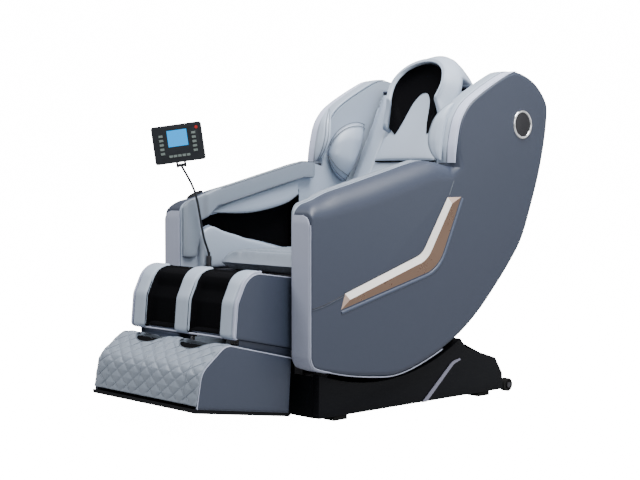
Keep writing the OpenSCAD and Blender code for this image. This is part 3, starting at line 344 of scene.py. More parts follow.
def eased(node, width):
    """A copy of a CAD node whose sharp edges are rounded."""
    bm = copied(node)
    bmesh.ops.dissolve_limit(bm, angle_limit=radians(2), verts=bm.verts, edges=bm.edges)
    sharp = [e for e in bm.edges if len(e.link_faces) == 2 and e.calc_face_angle(0) > radians(30)]
    bmesh.ops.bevel(
        bm, geom=sharp, offset=width * MM, offset_type="OFFSET", segments=3, profile=0.5,
        affect="EDGES", clamp_overlap=True, material=-1,
    )
    return bm


def piece(name, bm, paint, replaces=(), body="seat_shell", smooth=60, slot=None):
    """A finished piece of the chair at the origin, riding on its body."""
    mesh = meshed(name, bm)
    if smooth:
        mesh.shade_smooth()
        mesh.set_sharp_from_angle(angle=radians(smooth))
    mesh.materials.append(PAINT[paint])
    obj = added(name, mesh)
    if body:
        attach(obj, body)
    if replaces:
        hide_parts(*replaces)
    return obj


def baked(obj):
    """Puts the object's modifiers into its mesh."""
    bpy.context.view_layer.update()
    done = bpy.data.meshes.new_from_object(obj.evaluated_get(bpy.context.evaluated_depsgraph_get()))
    obj.modifiers.clear()
    old, obj.data = obj.data, done
    bpy.data.meshes.remove(old)


def swelled(name, bm, voxel, shrink, cap, keep_in):
    """A pad filled like stuffed cloth: remeshed, drawn in, blown up and capped, as a bmesh."""
    obj = added(name, meshed(name, bm))
    remesh = obj.modifiers.new("Voxels", "REMESH")
    remesh.mode = "VOXEL"
    remesh.voxel_size = voxel * MM
    baked(obj)
    drawn = [v.co - v.normal * shrink * MM for v in obj.data.vertices]
    for v, p in zip(obj.data.vertices, drawn):
        v.co = p
    cloth = obj.modifiers.new("Fill", "CLOTH")
    cloth.settings.use_pressure = True
    cloth.settings.uniform_pressure_force = FILL_PRESSURE
    cloth.settings.effector_weights.gravity = 0
    scene = bpy.context.scene
    for f in range(1, FILL_FRAMES + 1):
        scene.frame_set(f)
    baked(obj)
    scene.frame_set(1)
    for v, p in zip(obj.data.vertices, drawn):
        move = v.co - p
        if move.length > cap * MM:
            v.co = p + move.normalized() * cap * MM
    out = bmesh.new()
    out.from_mesh(obj.data)
    bpy.data.objects.remove(obj)
    for _ in range(4):
        bmesh.ops.smooth_vert(
            out, verts=out.verts, factor=0.5, use_axis_x=True, use_axis_y=True, use_axis_z=True
        )
    for v in out.verts:
        v.co = Vector(keep_in(*(v.co / MM))) * MM
    return out


def pressed(bm, depth):
    """Moves each point in along its normal by depth(x, y, z, normal), in mm."""
    bm.normal_update()
    moves = [(v, v.normal * depth(*(v.co / MM), v.normal) * MM) for v in bm.verts]
    for v, m in moves:
        v.co -= m
    return bm


def finer(bm):
    """The mesh with each edge cut in half."""
    bmesh.ops.subdivide_edges(bm, edges=bm.edges, cuts=1, use_grid_fill=True, smooth=0.0)
    return bm


def cords(name, lines, radius, paint, body="seat_shell", sides=4, slot=None):
    """Piping: round cords along the lines, each a list of points in mm."""
    curve = bpy.data.curves.new(name, "CURVE")
    curve.dimensions = "3D"
    curve.bevel_depth = radius * MM
    curve.bevel_resolution = sides
    curve.use_fill_caps = True
    for line in lines:
        spline = curve.splines.new("POLY")
        spline.points.add(len(line) - 1)
        for point, p in zip(spline.points, line):
            point.co = (p[0] * MM, p[1] * MM, p[2] * MM, 1)
    obj = added(name, curve)
    bpy.context.view_layer.update()
    mesh = bpy.data.meshes.new_from_object(obj.evaluated_get(bpy.context.evaluated_depsgraph_get()))
    bpy.data.objects.remove(obj)
    bm = bmesh.new()
    bm.from_mesh(mesh)
    bpy.data.meshes.remove(mesh)
    bmesh.ops.remove_doubles(bm, verts=bm.verts, dist=1e-6)
    bmesh.ops.recalc_face_normals(bm, faces=bm.faces)
    return piece(name, bm, paint, body=body, slot=slot)


def both(line):
    """A line and its mirror image across the chair."""
    return [line, [(-p[0], p[1], p[2]) for p in line]]


def sided(make, tail, paint, replaces="", fill=None, **more):
    """The same piece on the left and, turned over, on the right; a soft one gives its fill."""
    for side in ("left", "right"):
        bm = make()
        if side == "right":
            turned_over(bm)
        obj = piece(side + tail, bm, paint, [side + replaces] if replaces else (), **more)


# ---------------------------------------------------------------- materials
def put(socket, value):
    """Links the value into the socket, or sets it as its default."""
    if isinstance(value, bpy.types.NodeSocket):
        socket.id_data.links.new(value, socket)
    else:
        socket.default_value = value


def node(tree, kind, **values):
    """A node whose properties and inputs have these values or links."""
    n = tree.nodes.new(kind)
    for k, v in values.items():
        if hasattr(n, k):
            setattr(n, k, v)
        else:
            put(n.inputs[k.replace("_", " ")], v)
    return n


def maths(operation, a, b):
    tree = (a if isinstance(a, bpy.types.NodeSocket) else b).id_data
    n = node(tree, "ShaderNodeMath", operation=operation)
    put(n.inputs[0], a)
    put(n.inputs[1], b)
    return n.outputs[0]


times, plus, minus = (partial(maths, operation) for operation in ("MULTIPLY", "ADD", "SUBTRACT"))


def mixed(share, a, b):
    n = node(share.id_data, "ShaderNodeMix", data_type="RGBA")
    for i, x in ((0, share), (6, a), (7, b)):
        put(n.inputs[i], x)
    return n.outputs[2]


def texture(tree, kind, **values):
    return node(tree, "ShaderNodeTex" + kind, **values).outputs[0]


def object_place(tree):
    return node(tree, "ShaderNodeTexCoord").outputs["Object"]


def leather_grain(tree, inside):
    """Pebbled cells with fine creases, and a slow drift of tone."""
    place = object_place(tree)
    cells = texture(tree, "Voronoi", feature="DISTANCE_TO_EDGE", Vector=place, Scale=inside["Cells"])
    fine = times(inside["Cells"], 0.23)
    creases = texture(tree, "Noise", Vector=place, Scale=fine, Detail=4.0, Roughness=0.6)
    drift = texture(tree, "Noise", Vector=place, Scale=3.0, Detail=3.0)
    edge = maths("MINIMUM", times(cells, 4.0), 1.0)
    pit = times(minus(1.0, edge), inside["Pits"])
    dark = mixed(pit, inside["Colour"], inside["Pit colour"])
    worn = mixed(times(minus(drift, 0.5), inside["Drift"]), dark, inside["Worn colour"])
    height = plus(times(edge, 0.6), times(creases, 0.8))
    return worn, plus(inside["Roughness"], times(creases, 0.12)), height


def cloth_weave(tree, inside):
    """Two crossing sets of threads, as in an open mesh cloth."""
    place = object_place(tree)
    bands = {"wave_type": "BANDS", "Distortion": 0.6, "Vector": place, "Scale": inside["Threads"]}
    waves = [node(tree, "ShaderNodeTexWave", bands_direction=way, **bands) for way in "XZ"]
    height = maths("MAXIMUM", *(w.outputs["Fac"] for w in waves))
    share = times(height, plus(texture(tree, "Noise", Vector=place, Scale=900.0, Detail=2.0), 0.2))
    colour = mixed(share, inside["Gap colour"], inside["Thread colour"])
    return colour, minus(0.95, times(height, 0.15)), height


def fine_texture(tree, inside):
    """Moulded or ground surface: fine speckle and light scuffs."""
    place = object_place(tree)
    stretched = node(tree, "ShaderNodeMapping", Vector=place, Scale=inside["Stretch"]).outputs[0]
    speckle = texture(tree, "Noise", Vector=stretched, Scale=inside["Grain"], Detail=3.0)
    scuffs = texture(tree, "Noise", Vector=place, Scale=14.0, Detail=6.0, Roughness=0.7)
    share = times(times(speckle, scuffs), inside["Contrast"])
    colour = mixed(share, inside["Colour"], inside["Second colour"])
    return colour, plus(inside["Roughness"], times(minus(scuffs, 0.5), 0.25)), speckle


def group(name, build, defaults):
    """A node group whose build(tree, inputs) gives a colour, a roughness and a height."""
    tree = bpy.data.node_groups.new(name, "ShaderNodeTree")
    for label, default in defaults.items():
        kind = "Float" if isinstance(default, float) else "Vector" if len(default) == 3 else "Color"
        socket = tree.interface.new_socket(name=label, in_out="INPUT", socket_type="NodeSocket" + kind)
        socket.default_value = default
    outputs = (("Colour", "Color"), ("Roughness", "Float"), ("Height", "Float"))
    for label, kind in outputs:
        tree.interface.new_socket(name=label, in_out="OUTPUT", socket_type="NodeSocket" + kind)
    results = build(tree, node(tree, "NodeGroupInput").outputs)
    out = node(tree, "NodeGroupOutput")
    for (label, _), result in zip(outputs, results):
        put(out.inputs[label], result)
    return tree


GROUPS = {}
GREY, PALE_GREY = (0.5, 0.5, 0.5, 1), (0.6, 0.6, 0.6, 1)


def build_groups():
    GROUPS["leather"] = group("Leather grain", leather_grain, {
        "Colour": GREY, "Pit colour": (0.3, 0.3, 0.3, 1), "Worn colour": PALE_GREY, "Cells": 700.0,
        "Pits": 0.25, "Drift": 0.6, "Roughness": 0.4})
    GROUPS["cloth"] = group("Cloth weave", cloth_weave, {
        "Thread colour": (0.02, 0.02, 0.02, 1), "Gap colour": (0.0, 0.0, 0.0, 1), "Threads": 140.0})
    GROUPS["fine"] = group("Fine texture", fine_texture, {
        "Colour": GREY, "Second colour": PALE_GREY, "Grain": 900.0, "Stretch": (1.0, 1.0, 1.0),
        "Contrast": 1.0, "Roughness": 0.4})


def shade(colour, factor):
    return tuple(min(1.0, c * factor) for c in colour[:3]) + (1.0,)


def material(name, kind, bump, distance, values, shader):
    """A material whose colour, roughness and relief come from a shared effect."""
    m = bpy.data.materials.new(name)
    m.use_nodes = True
    effect = node(m.node_tree, "ShaderNodeGroup", node_tree=GROUPS[kind])
    for k, v in values.items():
        put(effect.inputs[k], v)
    colour, rough, height = effect.outputs
    relief = node(m.node_tree, "ShaderNodeBump", Strength=bump, Distance=distance * MM, Height=height)
    links = {"Normal": relief.outputs[0], "Base Color": colour, "Roughness": rough}
    for k, v in {**links, **shader}.items():
        put(m.node_tree.nodes["Principled BSDF"].inputs[k], v)
    return m


def leather(name, colour, cells=650.0, rough=0.34, coat=0.12, bump=0.25):
    return material(
        name, "leather", bump, 0.25,
        {"Colour": colour, "Pit colour": shade(colour, 0.62), "Worn colour": shade(colour, 1.25),
         "Cells": cells, "Pits": 0.3, "Drift": 0.35, "Roughness": rough},
        {"Coat Weight": coat, "Coat Roughness": 0.35, "Specular IOR Level": 0.45})


def plastic(name, colour, rough=0.4, bump=0.12, **shader):
    return material(
        name, "fine", bump, 0.15,
        {"Colour": (*colour, 1), "Second colour": shade(colour, 1.6), "Grain": 900.0, "Contrast": 0.8,
         "Roughness": rough}, shader)


def metal(name, colour, rough=0.25, metallic=1.0):
    return material(
        name, "fine", 0.05, 0.1,
        {"Colour": (*colour, 1), "Second colour": shade(colour, 0.9), "Grain": 260.0,
         "Stretch": (1.0, 1.0, 30.0), "Contrast": 0.7, "Roughness": rough}, {"Metallic": metallic})


PAINT = {}


def build_materials(look):
    build_groups()
    shell, pad, border = (shade(c, 1) for c in (look.shell_colour, look.pad_colour, look.border_colour))
    dull = {"Specular IOR Level": 0.12}
    lit = {"Emission Color": (0.0, 0.5, 1.0, 1), "Emission Strength": 0.8}
    threads = {"Thread colour": (0.0025, 0.0025, 0.0035, 1), "Gap colour": (0.0005, 0.0005, 0.001, 1)}
    PAINT.update(
        shell=leather("Shell leather", shell, coat=0.06, rough=0.42),
        # The welt is the shell leather lightened as a painted highlight along the raised fold beside the
        # trim.
        welt=leather("Welt leather, painted highlight", shade(shell, 1.7), coat=0.1, rough=0.4),
        # The inner boards are the pad leather made a little darker, as painted shade.
        board=leather("Board leather with painted shade", shade(pad, 0.95), rough=0.38),
        pad=leather("Pad leather", pad),
        light_pad=leather("Light pad leather", shade(pad, 1.15)),
        arm=leather("Arm leather", shade(pad, 0.6)),
        soft_piping=leather("Soft piping", shade(pad, 0.45), cells=900.0, rough=0.4),
        light_border=leather("Light border leather", shade(border, 1.6)),
        quilt=leather("Quilted leather", shade(pad, 0.56), cells=520.0, rough=0.36, bump=0.3),
        border=leather("Border leather", border),
        piping=leather("Piping leather", shade(border, 1.1), cells=900.0, rough=0.3),
        # Dark seam cords; along the trim's inner edge they also paint the shadow of the gap under the trim.
        thread=leather("Seam thread and painted gap shade", shade(shell, 0.35), cells=1500.0, rough=0.6),
        stitch=leather("Quilting thread", shade(pad, 0.5), cells=1500.0, rough=0.6),
        dark_piping=leather("Dark piping", shade(pad, 0.3), cells=900.0, rough=0.4),
        fabric=material("Black cloth", "cloth", 0.5, 0.3, threads, {"Specular IOR Level": 0.05}),
        # The trim is one rose-gold metal in three copies: the upper bevel's copy is lightened as a painted
        # highlight, the lower bevel's copy is darkened to brown as painted shade, and the ends' copy has a
        # mid tone between them, also painted light.
        gold=metal("Rose gold painted highlight", look.gold_highlight_colour, rough=0.35, metallic=0.15),
        gold_deep=metal("Rose gold painted shade", (0.25, 0.16, 0.115), rough=0.3, metallic=0.6),
        gold_end=metal("Rose gold ends", (0.62, 0.46, 0.38), rough=0.3, metallic=0.6),
        chrome=metal("Chrome", (0.8, 0.81, 0.83), rough=0.12),
        mesh=metal("Speaker mesh", (0.05, 0.05, 0.055), rough=0.45),
        black=plastic("Black plastic", (0.003, 0.0033, 0.005), rough=0.55, **dull),
        case=plastic("Remote plastic", (0.008, 0.010, 0.014), rough=0.3, bump=0.06),
        stripe=plastic("Grey inlay", (0.17, 0.17, 0.23), rough=0.45),
        rubber=plastic("Rubber", (0.012, 0.012, 0.012), rough=0.8, bump=0.25, **dull),
        steel=metal("Painted frame steel", (0.09, 0.09, 0.1), rough=0.5),
        bright=metal("Bright steel", (0.62, 0.62, 0.63)),
        red=plastic("Red key", (0.35, 0.012, 0.01), rough=0.35),
        grey=plastic("Grey keys", (0.12, 0.15, 0.14), rough=0.5),
        screen=plastic("Lit display", (0.0, 0.1, 0.4), rough=0.25, bump=0.0, **lit),
        shaft=metal("Oiled shaft steel", (0.35, 0.35, 0.36), rough=0.3),
    )


# finishes of the frame's own parts
CAD_FINISH = {
    "steel": ["base_frame", "seat_frame", "back_frame", "calf_frame", "carriage"],
    "black": ["base_rear_cover", "front_cover", "power_inlet", "tilt_actuator", "foot_plate"],
    "rubber": ["feet", "left_wheel", "right_wheel", "upper_massage_rollers", "lower_massage_rollers"],
    "bright": ["tilt_rod", "foot_runners"],
    "shaft": ["front_rail_rollers", "rear_rail_rollers", "massage_arms"],
    "red": ["power_switch", "power_key"],
    "board": ["left_inner_board", "right_inner_board"],
    "shell": ["rear_cover", "calf_shell", "foot_shell"],
    "fabric": ["left_slot_liner", "right_slot_liner", "foot_wells"],
    "grey": ["key_pad"],
    "case": ["remote_stalk"],
    "screen": ["tablet_screen"],
}


# ---------------------------------------------------------------- pieces
def panel_outline(steps=6):
    low = smooth_chain(BOTTOM_LINE + WING_LINE, steps)
    arm = smooth_chain(ARM_LINE, 2 * steps)
    return low + arm


def closed_normals(line):
    """Inward normals of a counterclockwise outline."""
    out = []
    for i in range(len(line)):
        a, b = Vector(line[i - 1][:2]), Vector(line[(i + 1) % len(line)][:2])
        t = (b - a).normalized()
        out.append((-t.y, t.x))
    return out


def side_shell():
    line = panel_outline()
    sides = closed_normals(line)
    n = len(line)
    steps = 12
    inner = [("inside", 90 - 15 * k) for k in range(7)]
    profile = inner + [("mouth", 1), ("mouth", 0)] + [("outside", 90 * k / steps) for k in range(steps + 1)]

    def turn(y, z, r, ny, nz):
        """How far the rounding runs in: along the normal, but straight down at the front of the arm."""
        w = clamped((-290 - y) / 60) * clamped((z - 640) / 24)
        return (ny * (r * (1 - w) + 6 * w), nz * r * (1 - w) - r * w)

    def place(u, v):
        i = round(u * n) % n
        y, z, r = line[i]
        r = max(r, 1)
        dy, dz = turn(y, z, r, *sides[i])
        kind, k = profile[round(v * (len(profile) - 1))]
        a = radians(k)
        if kind == "outside":
            x, d = HALF_W - r + r * sin(a), 1 - cos(a)
        elif kind == "inside":
            most, left = max(r, SHELL_WALL), max(r - SHELL_WALL, 0)
            x, d = HALF_W - most + left * sin(a), (most - left * cos(a)) / r
        else:
            x, d = SHELL_X, k * SHELL_WALL / r
        return (x, y + dy * d, z + dz * d)

    return closed(surface(n, len(profile) - 1, place))


def make_side_shells():
    sided(side_shell, "_side_panel", "shell", "_side_shell", smooth=35)


def make_front_bands():
    """Padded borders down the front of both arms, turned under the panels, with piping beside them."""
    bottom = smooth_chain(BOTTOM_LINE, 6)[:16]
    track = Track([(FRONT_Y, 668)] + [(FRONT_Y, 640 - 30 * k) for k in range(14)] + [p[:2] for p in bottom])
    x0, x1, corner = BOARD_X + 2, HALF_W - 5, 34.0

    def place(a, u):
        p = track.point(u)
        drop = max(0.0, 1 - (668 - p.y) / corner) if p.y > 600 else 0.0
        outer = x1 - corner * (1 - sqrt(max(0.0, 1 - drop * drop)))
        c, s = box_point(a, 0.42)
        tip = min(1.0, 25 * u, 25 * (1 - u))
        return (between(x0, outer, c), *track.point(u, SLACK + (3.5 + 3.0 * s) * (0.35 + 0.65 * tip)))

    piece("arm_borders", mirrored(rings(28, 90, place)), "border", ["arm_front_bands"])
    edge = [(HALF_W - 3.2, *track.point(k / 90, 1.2)) for k in range(5, 91)]
    under = [(HALF_W - 7, p[0], p[1] - 1.2) for p in smooth_chain(BOTTOM_LINE, 6)[15:44]]
    cords("arm_border_piping", both(edge) + both(under), 2.1, "piping")


def make_wing_bands():
    """Light borders along the front edges of the wings, with a soft roll and a stuffed bag inside them."""
    low = smooth_chain(BOTTOM_LINE + WING_LINE, 6)
    first = 6 * len(BOTTOM_LINE)
    track = Track([(273, 834), (274, 852)] + [p[:2] for p in reversed(low[first:first + 43])])

    def strip(x0, x1, rise, t0=0.0, t1=1.0):
        def place(a, u):
            c, s = box_point(a, 0.5)
            h = rise / 2 * (0.2 + 0.8 * min(1.0, 9 * u, 9 * (1 - u)))
            return (between(x0, x1, c), *track.point(t0 + (t1 - t0) * u, -SLACK - h - h * s))
        return mirrored(rings(24, 90, place))

    piece("wing_borders", strip(HALF_W - 42, HALF_W - 8, 7.0), "light_border", ["wing_edge_bands"])
    piece("wing_rolls", strip(BOARD_X + 0.5, HALF_W - 43, 11.0), "pad", smooth=40)

    edge_x, widest, end = HALF_W - 58, 66.0, 0.42

    def bag(u, v, side):
        """Across from the roll to the free edge, and up the front of the wing."""
        out = widest * max(0.0, sin(pi * v ** 0.8)) ** 0.75
        x = edge_x - 2 - out * u
        puff = 20 * crown(u, 0.45) * crown(v, 0.45)
        return (x, *track.point(0.01 + (end - 0.01) * v, -11.5 - (puff if side > 0 else 0)))

    sided(lambda: pillow(30, 50, bag), "_wing_bag", "light_pad")
    loops = []
    for share in (0.97, 0.84):
        line = []
        for k in range(61):
            x, y, z = bag(share, 0.03 + 0.94 * k / 60, 1)
            line.append((x, y - 1.0, z))
        loops += both(line)
    cords("wing_bag_piping", loops, 1.8, "soft_piping")
    reach = 0.965
    edge = [(HALF_W - 6.2, *track.point(reach * k / 60, -1.6)) for k in range(61)]
    tail = [(HALF_W + 0.2, 236.0 + 2.4 * k, 722.0 + 5 * k) for k in range(11)]
    inner = [(HALF_W - 42.5, *track.point(0.93 * k / 60, -5.5)) for k in range(61)]
    cords("wing_piping", both(edge), 2.2, "light_border")
    cords("wing_seam", both(inner) + both(tail), 1.3, "dark_piping")


def make_trim():
    """Bent metal trim with a bright upper and a brown lower bevel, and the raised welt round it."""
    def bend(points, radius):
        return Track(resample(rounded_open(points, radius, 14), 12))

    inner = bend([(228, 716), (103, 528), (-256, 416)], 80)
    ridge = bend([(246, 695), (124, 508), (-238, 396)], 95)
    outer = bend([(297, 716), (182, 478), (-273, 366)], 130)

    def strip(edge):
        def place(u, v):
            return (HALF_W + TRIM_LOW + (TRIM_HIGH - TRIM_LOW) * v, *edge.point(u).lerp(ridge.point(u), v))
        return skirted(surface(72, 4, place), HALF_W - 1)

    # Upper bevel carries the painted highlight, lower bevel the painted shade.
    piece("trim_upper", strip(inner), "gold", ["side_strips"], smooth=20)
    piece("trim_lower", strip(outer), "gold_deep", smooth=20)
    make_trim_ends(inner, ridge, outer)
    # The welt cord's lighter leather is a painted highlight.
    welt = [(HALF_W - 3.4, *outer.point(k / 80, -10.5)) for k in range(81)]
    cords("panel_welt", both(welt), 6.5, "welt", sides=8)
    # A dark cord along the trim's inner edge: the seam where the leather tucks under the trim, darkened as
    # painted shadow of the gap there.
    tuck_shadow_line = [(HALF_W + 0.1, *inner.point(k / 80, 2.6)) for k in range(81)]
    tip = inner.point(1)
    seam, lower = [], []
    for k in range(13):
        t = k / 12
        y, z = FRONT_Y + 2 + (tip.x - FRONT_Y - 4) * t, 376 + (tip.y - 378) * t ** 1.4
        seam.append((HALF_W + 0.1, y, z))
        lower.append((HALF_W - 1.4, y, z - 4.5))
    cords("panel_seam", both(seam) + both(tuck_shadow_line), 1.4, "thread")
    cords("panel_seam_roll", both(lower), 3.0, "shell", sides=6)


def rounded_open(points, radius, steps=10):
    """An open line whose inner corners are arcs."""
    line = [tuple(points[0])]
    for a, p, b in zip(points, points[1:], points[2:]):
        arc = rounded([(*a, 0.01), (*p, radius), (*b, 0.01)], steps)
        line += arc[steps + 1:2 * steps + 2]
    return line + [tuple(points[-1])]


def make_speakers():
    y, z = 627.0, 972.0

    def ring(u, v):
        a, b = tau * (u % 1), tau * (v % 1)
        r = 47 + 5 * cos(b)
        return (HALF_W + 0.6 + 4.2 * max(sin(b), -0.1), y + r * cos(a), z + r * sin(a))

    bm = surface(72, 16, ring)
    bmesh.ops.recalc_face_normals(bm, faces=bm.faces)
    piece("speaker_rims", mirrored(bm), "chrome", ["speaker_rings"], smooth=40)
    bm = bmesh.new()
    bmesh.ops.create_grid(bm, x_segments=26, y_segments=26, size=43.5 * MM)
    outside = [f for f in bm.faces if f.calc_center_median().length > 42 * MM]
    bmesh.ops.delete(bm, geom=outside, context="FACES")
    bmesh.ops.inset_individual(bm, faces=bm.faces, thickness=0.55 * MM, depth=0.0)
    for v in bm.verts:
        r = v.co.length / MM / 43
        v.co = Vector((HALF_W * MM + (2.4 - 1.2 * r * r) * MM, y * MM + v.co.x, z * MM + v.co.y))
    bmesh.ops.recalc_face_normals(bm, faces=bm.faces)
    piece("speaker_mesh", mirrored(bm), "mesh", ["speaker_grilles"], smooth=0)


def arm_pad():
    column_x0 = LEG_X + 3
    column_z = 506
    slab_y = -255
    slab_z = arm_top(slab_y) - SLAB_H

    def place(a, t):
        y = -394 + 604 * t
        ends = 6 * ending(t, 0.012)
        low = table(y, [(-345, column_z), (-330, 560), (-322, 632), (-290, 650), (slab_y, slab_z)])
        x0 = table(y, [(-316, column_x0), (-300, ARM_PAD_X0)])
        z0 = min(low, slab_z) if y < slab_y else arm_top(y) - SLAB_H
        x0, z0, z1 = x0 + ends, z0 + ends, arm_top(y) + 5 - ends
        c, s = box_point(a, 0.3)
        return (between(x0, ARM_PAD_X1, c), y, between(z0, z1, s))

    return rings(36, 150, place)


def make_arm_pads():
    sided(arm_pad, "_arm_bolster", "arm", "_arm_pad", fill=0.8)
    # Dark cords along the bolster's lower and upper edges: piping, whose dark colour also paints the shadow
    # lines along those edges.
    under = [(ARM_PAD_X0 + 0.5, -240 + 10 * k, arm_top(-240 + 10 * k) - SLAB_H + 3) for k in range(45)]
    over = [(ARM_PAD_X0 + 1.5, -240 + 10 * k, arm_top(-240 + 10 * k) + 3) for k in range(45)]
    cords("arm_piping_and_shadow_lines", both(under) + both(over), 1.6, "dark_piping")


def make_arm_flaps():
    top = Track(smooth_chain([(-262, 664), (-172, 697), (-59, 725), (58, 754), (136, 772)], 6))
    low = Track(smooth_chain([(-262, 660), (-109, 656), (6, 671), (88, 692), (142, 722)], 6))
    t = 12.0

    def place(u, v, side):
        h = t / 2 * crown(v) * crown(u)
        return (BOARD_X - SLACK - t / 2 - side * h, *top.point(u).lerp(low.point(u), v))

    sided(lambda: pillow(70, 20, place), "_forearm_bag", "pad", "_arm_flap", fill=0.6, smooth=40)
    edge = [(BOARD_X - SLACK - t / 2 - 1, *low.point(k / 50)) for k in range(51)]
    cords("forearm_piping", both(edge), 1.5, "dark_piping")


def make_lower_pads():
    edge = [
        (-326, 592), (-280, 612), (-227, 593), (-172, 579), (-116, 561), (-59, 549), (87, 513), (205, 500),
    ]
    line = Track(smooth_chain(edge, 6))

    def place(a, t):
        p = line.point(t)
        e = 6 * ending(t, 0.012)
        c, s = box_point(a, 0.38)
        z0, z1 = PAN_TOP + 6, min(p.y, 612) - e
        return (between(ARM_PAD_X0 + e, ARM_PAD_X1, c), p.x, between(z0, z1, s))

    sided(lambda: rings(32, 110, place), "_side_bolster", "pad", "_lower_pad", fill=0.7)


def make_shoulder_bags():
    top = Track(smooth_chain([(282, 878), (308, 940), (358, 985), (424, 1003), (488, 994)], 6))
    low = Track(smooth_chain([(282, 874), (290, 832), (310, 794), (340, 768), (374, 755)], 6))

    def place(u, v, side):
        rise = crown(v, 0.5) * crown(u, 0.4) * (26 + 48 * u) + 4 * crown(u) * crown(v)
        return (BOARD_X - SLACK - (rise if side > 0 else 0), *top.point(u).lerp(low.point(u), v))

    def keep(x, y, z):
        return (min(abs(x), BOARD_X - SLACK), y, z)

    def bag():
        return finer(swelled("bag", pillow(40, 32, place), 5.0, 5.0, 9.0, keep))

    sided(bag, "_shoulder_pad", "pad", "_shoulder_bag", fill=0.75)
    loops = []
    for inset, depth in ((0.05, 16), (0.11, 26)):
        line = []
        for k in range(101):
            t = k / 100
            if t < 0.5:
                u, v = inset + (1 - inset) * (2 * t), inset
            else:
                u, v = 1 - (1 - inset) * (2 * t - 1), 1 - inset
            x, y, z = place(min(u, 0.97), v, 1)
            line.append((x - 0.5, y, z))
        loops += both(line)
    cords("shoulder_piping", loops, 1.5, "dark_piping")


def make_seat():
    """Seat cushion: stuffed, with a front roll and a diamond quilt behind it."""
    cell = 62

    def quilt(x, y, z, normal):
        if normal.z < 0.4 or y < -248:
            return 3.5 * bell(y + 250, 4) if normal.z > 0.2 else 0
        a = abs(sin(pi * (x + y) / cell))
        b = abs(sin(pi * (x - y) / cell))
        return 2.6 * max(0, 1 - a / 0.16) + 2.6 * max(0, 1 - b / 0.16) + 3.5 * bell(y + 250, 4)

    def keep(x, y, z):
        return (max(-259, min(259, x)), max(y, -308), max(z, PAN_TOP + SLACK))

    bm = swelled("seat", copied("seat_cushion"), 6.0, 7.0, 12.0, keep)
    pressed(finer(bm), quilt)
    obj = piece("seat_pad", bm, "quilt", ["seat_cushion"])


def make_back():
    def keep(x, y, z):
        return (max(-289.6, min(289.6, x)), y, z)

    bm = finer(swelled("back", copied("back_pad"), 7.0, 4.0, 6.0, keep))
    a = radians(BACK_LEAN)

    def seams(x, y, z, normal):
        along = (y - BACK_ORIGIN[0]) * sin(a) + (z - BACK_ORIGIN[1]) * cos(a)
        if normal.y > -0.3:
            return 0
        return 3 * bell(along - 270, 4) + 3 * bell(along - 150, 4) + 2.2 * bell(abs(x) - 165, 4)

    pressed(bm, seams)
    obj = piece("backrest_pad", bm, "pad", ["back_pad"])


def calf_track():
    line = rounded(CALF_CORNERS, 14)
    return Track(resample(list(reversed(line[45:90])), 9))


def make_calf():
    """Padded ridges, black cloth wells between them, and dark cheeks with light piping."""
    track = calf_track()
    depth_full = 56.0

    def reach(t):
        return table(t, [(0.6, 1.0), (0.78, 0.42)]) * depth_full

    def ridge(x0, x1):
        def place(a, t):
            c, s = box_point(a, 0.36)
            e = 3 * ending(t, 0.01)
            r = reach(t)
            return ((x0 + x1) / 2 + ((x1 - x0) / 2 - e) * c, *track.point(t, r / 2 + (r / 2 - e) * s))
        return rings(36, 90, place)

    half = 36.5
    outer0, outer1 = LEG_X - 73, LEG_X - 8.3
    for side, x0, x1 in (("middle", -half, half), ("left", outer0, outer1), ("right", -outer1, -outer0)):
        obj = piece("calf_ridge_" + side, ridge(x0, x1), "pad", ["calf_ridges"], body="leg_rest")
    for s, name in ((1, "calf_edge_left"), (-1, "calf_edge_right")):
        def place(a, t):
            c, q = box_point(a, 0.5)
            return (s * (LEG_X - 3.35 + 4.3 * c), *track.point(t, 5.85 - 5.85 * q))
        obj = piece(name, rings(20, 90, place), "piping", ["calf_ridges"], body="leg_rest")

    x0, x1 = half - 3.5, outer0 + 3.5
    middle, wide = (x0 + x1) / 2, (x1 - x0) / 2

    def trough(a, t):
        """Down one wall, over the floor and up the other, then back along the cloth's rear face."""
        front = a < 0.5
        w = 4 * a - 1 if front else 3 - 4 * a
        floor = reach(t) * 0.62 - 1
        wall = abs(w) ** 9
        ends = max(bell(t, 0.035), bell(1 - t, 0.02))
        depth = 3.0 + (floor - 3.0) * (1 - wall) * (1 - 0.75 * ends) + (0 if front else 2.0)
        x = middle + (wide - (0 if front else 1.6)) * copysign(abs(w) ** 0.8, w)
        return (x, *track.point(t, depth))

    wells = mirrored(rings(88, 90, trough))
    piece("calf_well_cloth", wells, "fabric", ["calf_wells"], body="leg_rest", smooth=50)
    hem = [((LEG_X - 6) * (k / 24 - 1), *track.point(0.004, 2.0)) for k in range(49)]
    cords("calf_hem", [hem], 3.0, "piping", body="leg_rest")
    cheek = [(-334, 221, 12)] + CALF_CORNERS[1:5] + [(-627, 283, 16)]
    make_cheeks("calf_cheeks", cheek, 11.0, "leg_rest", 2, 6, -345.0)


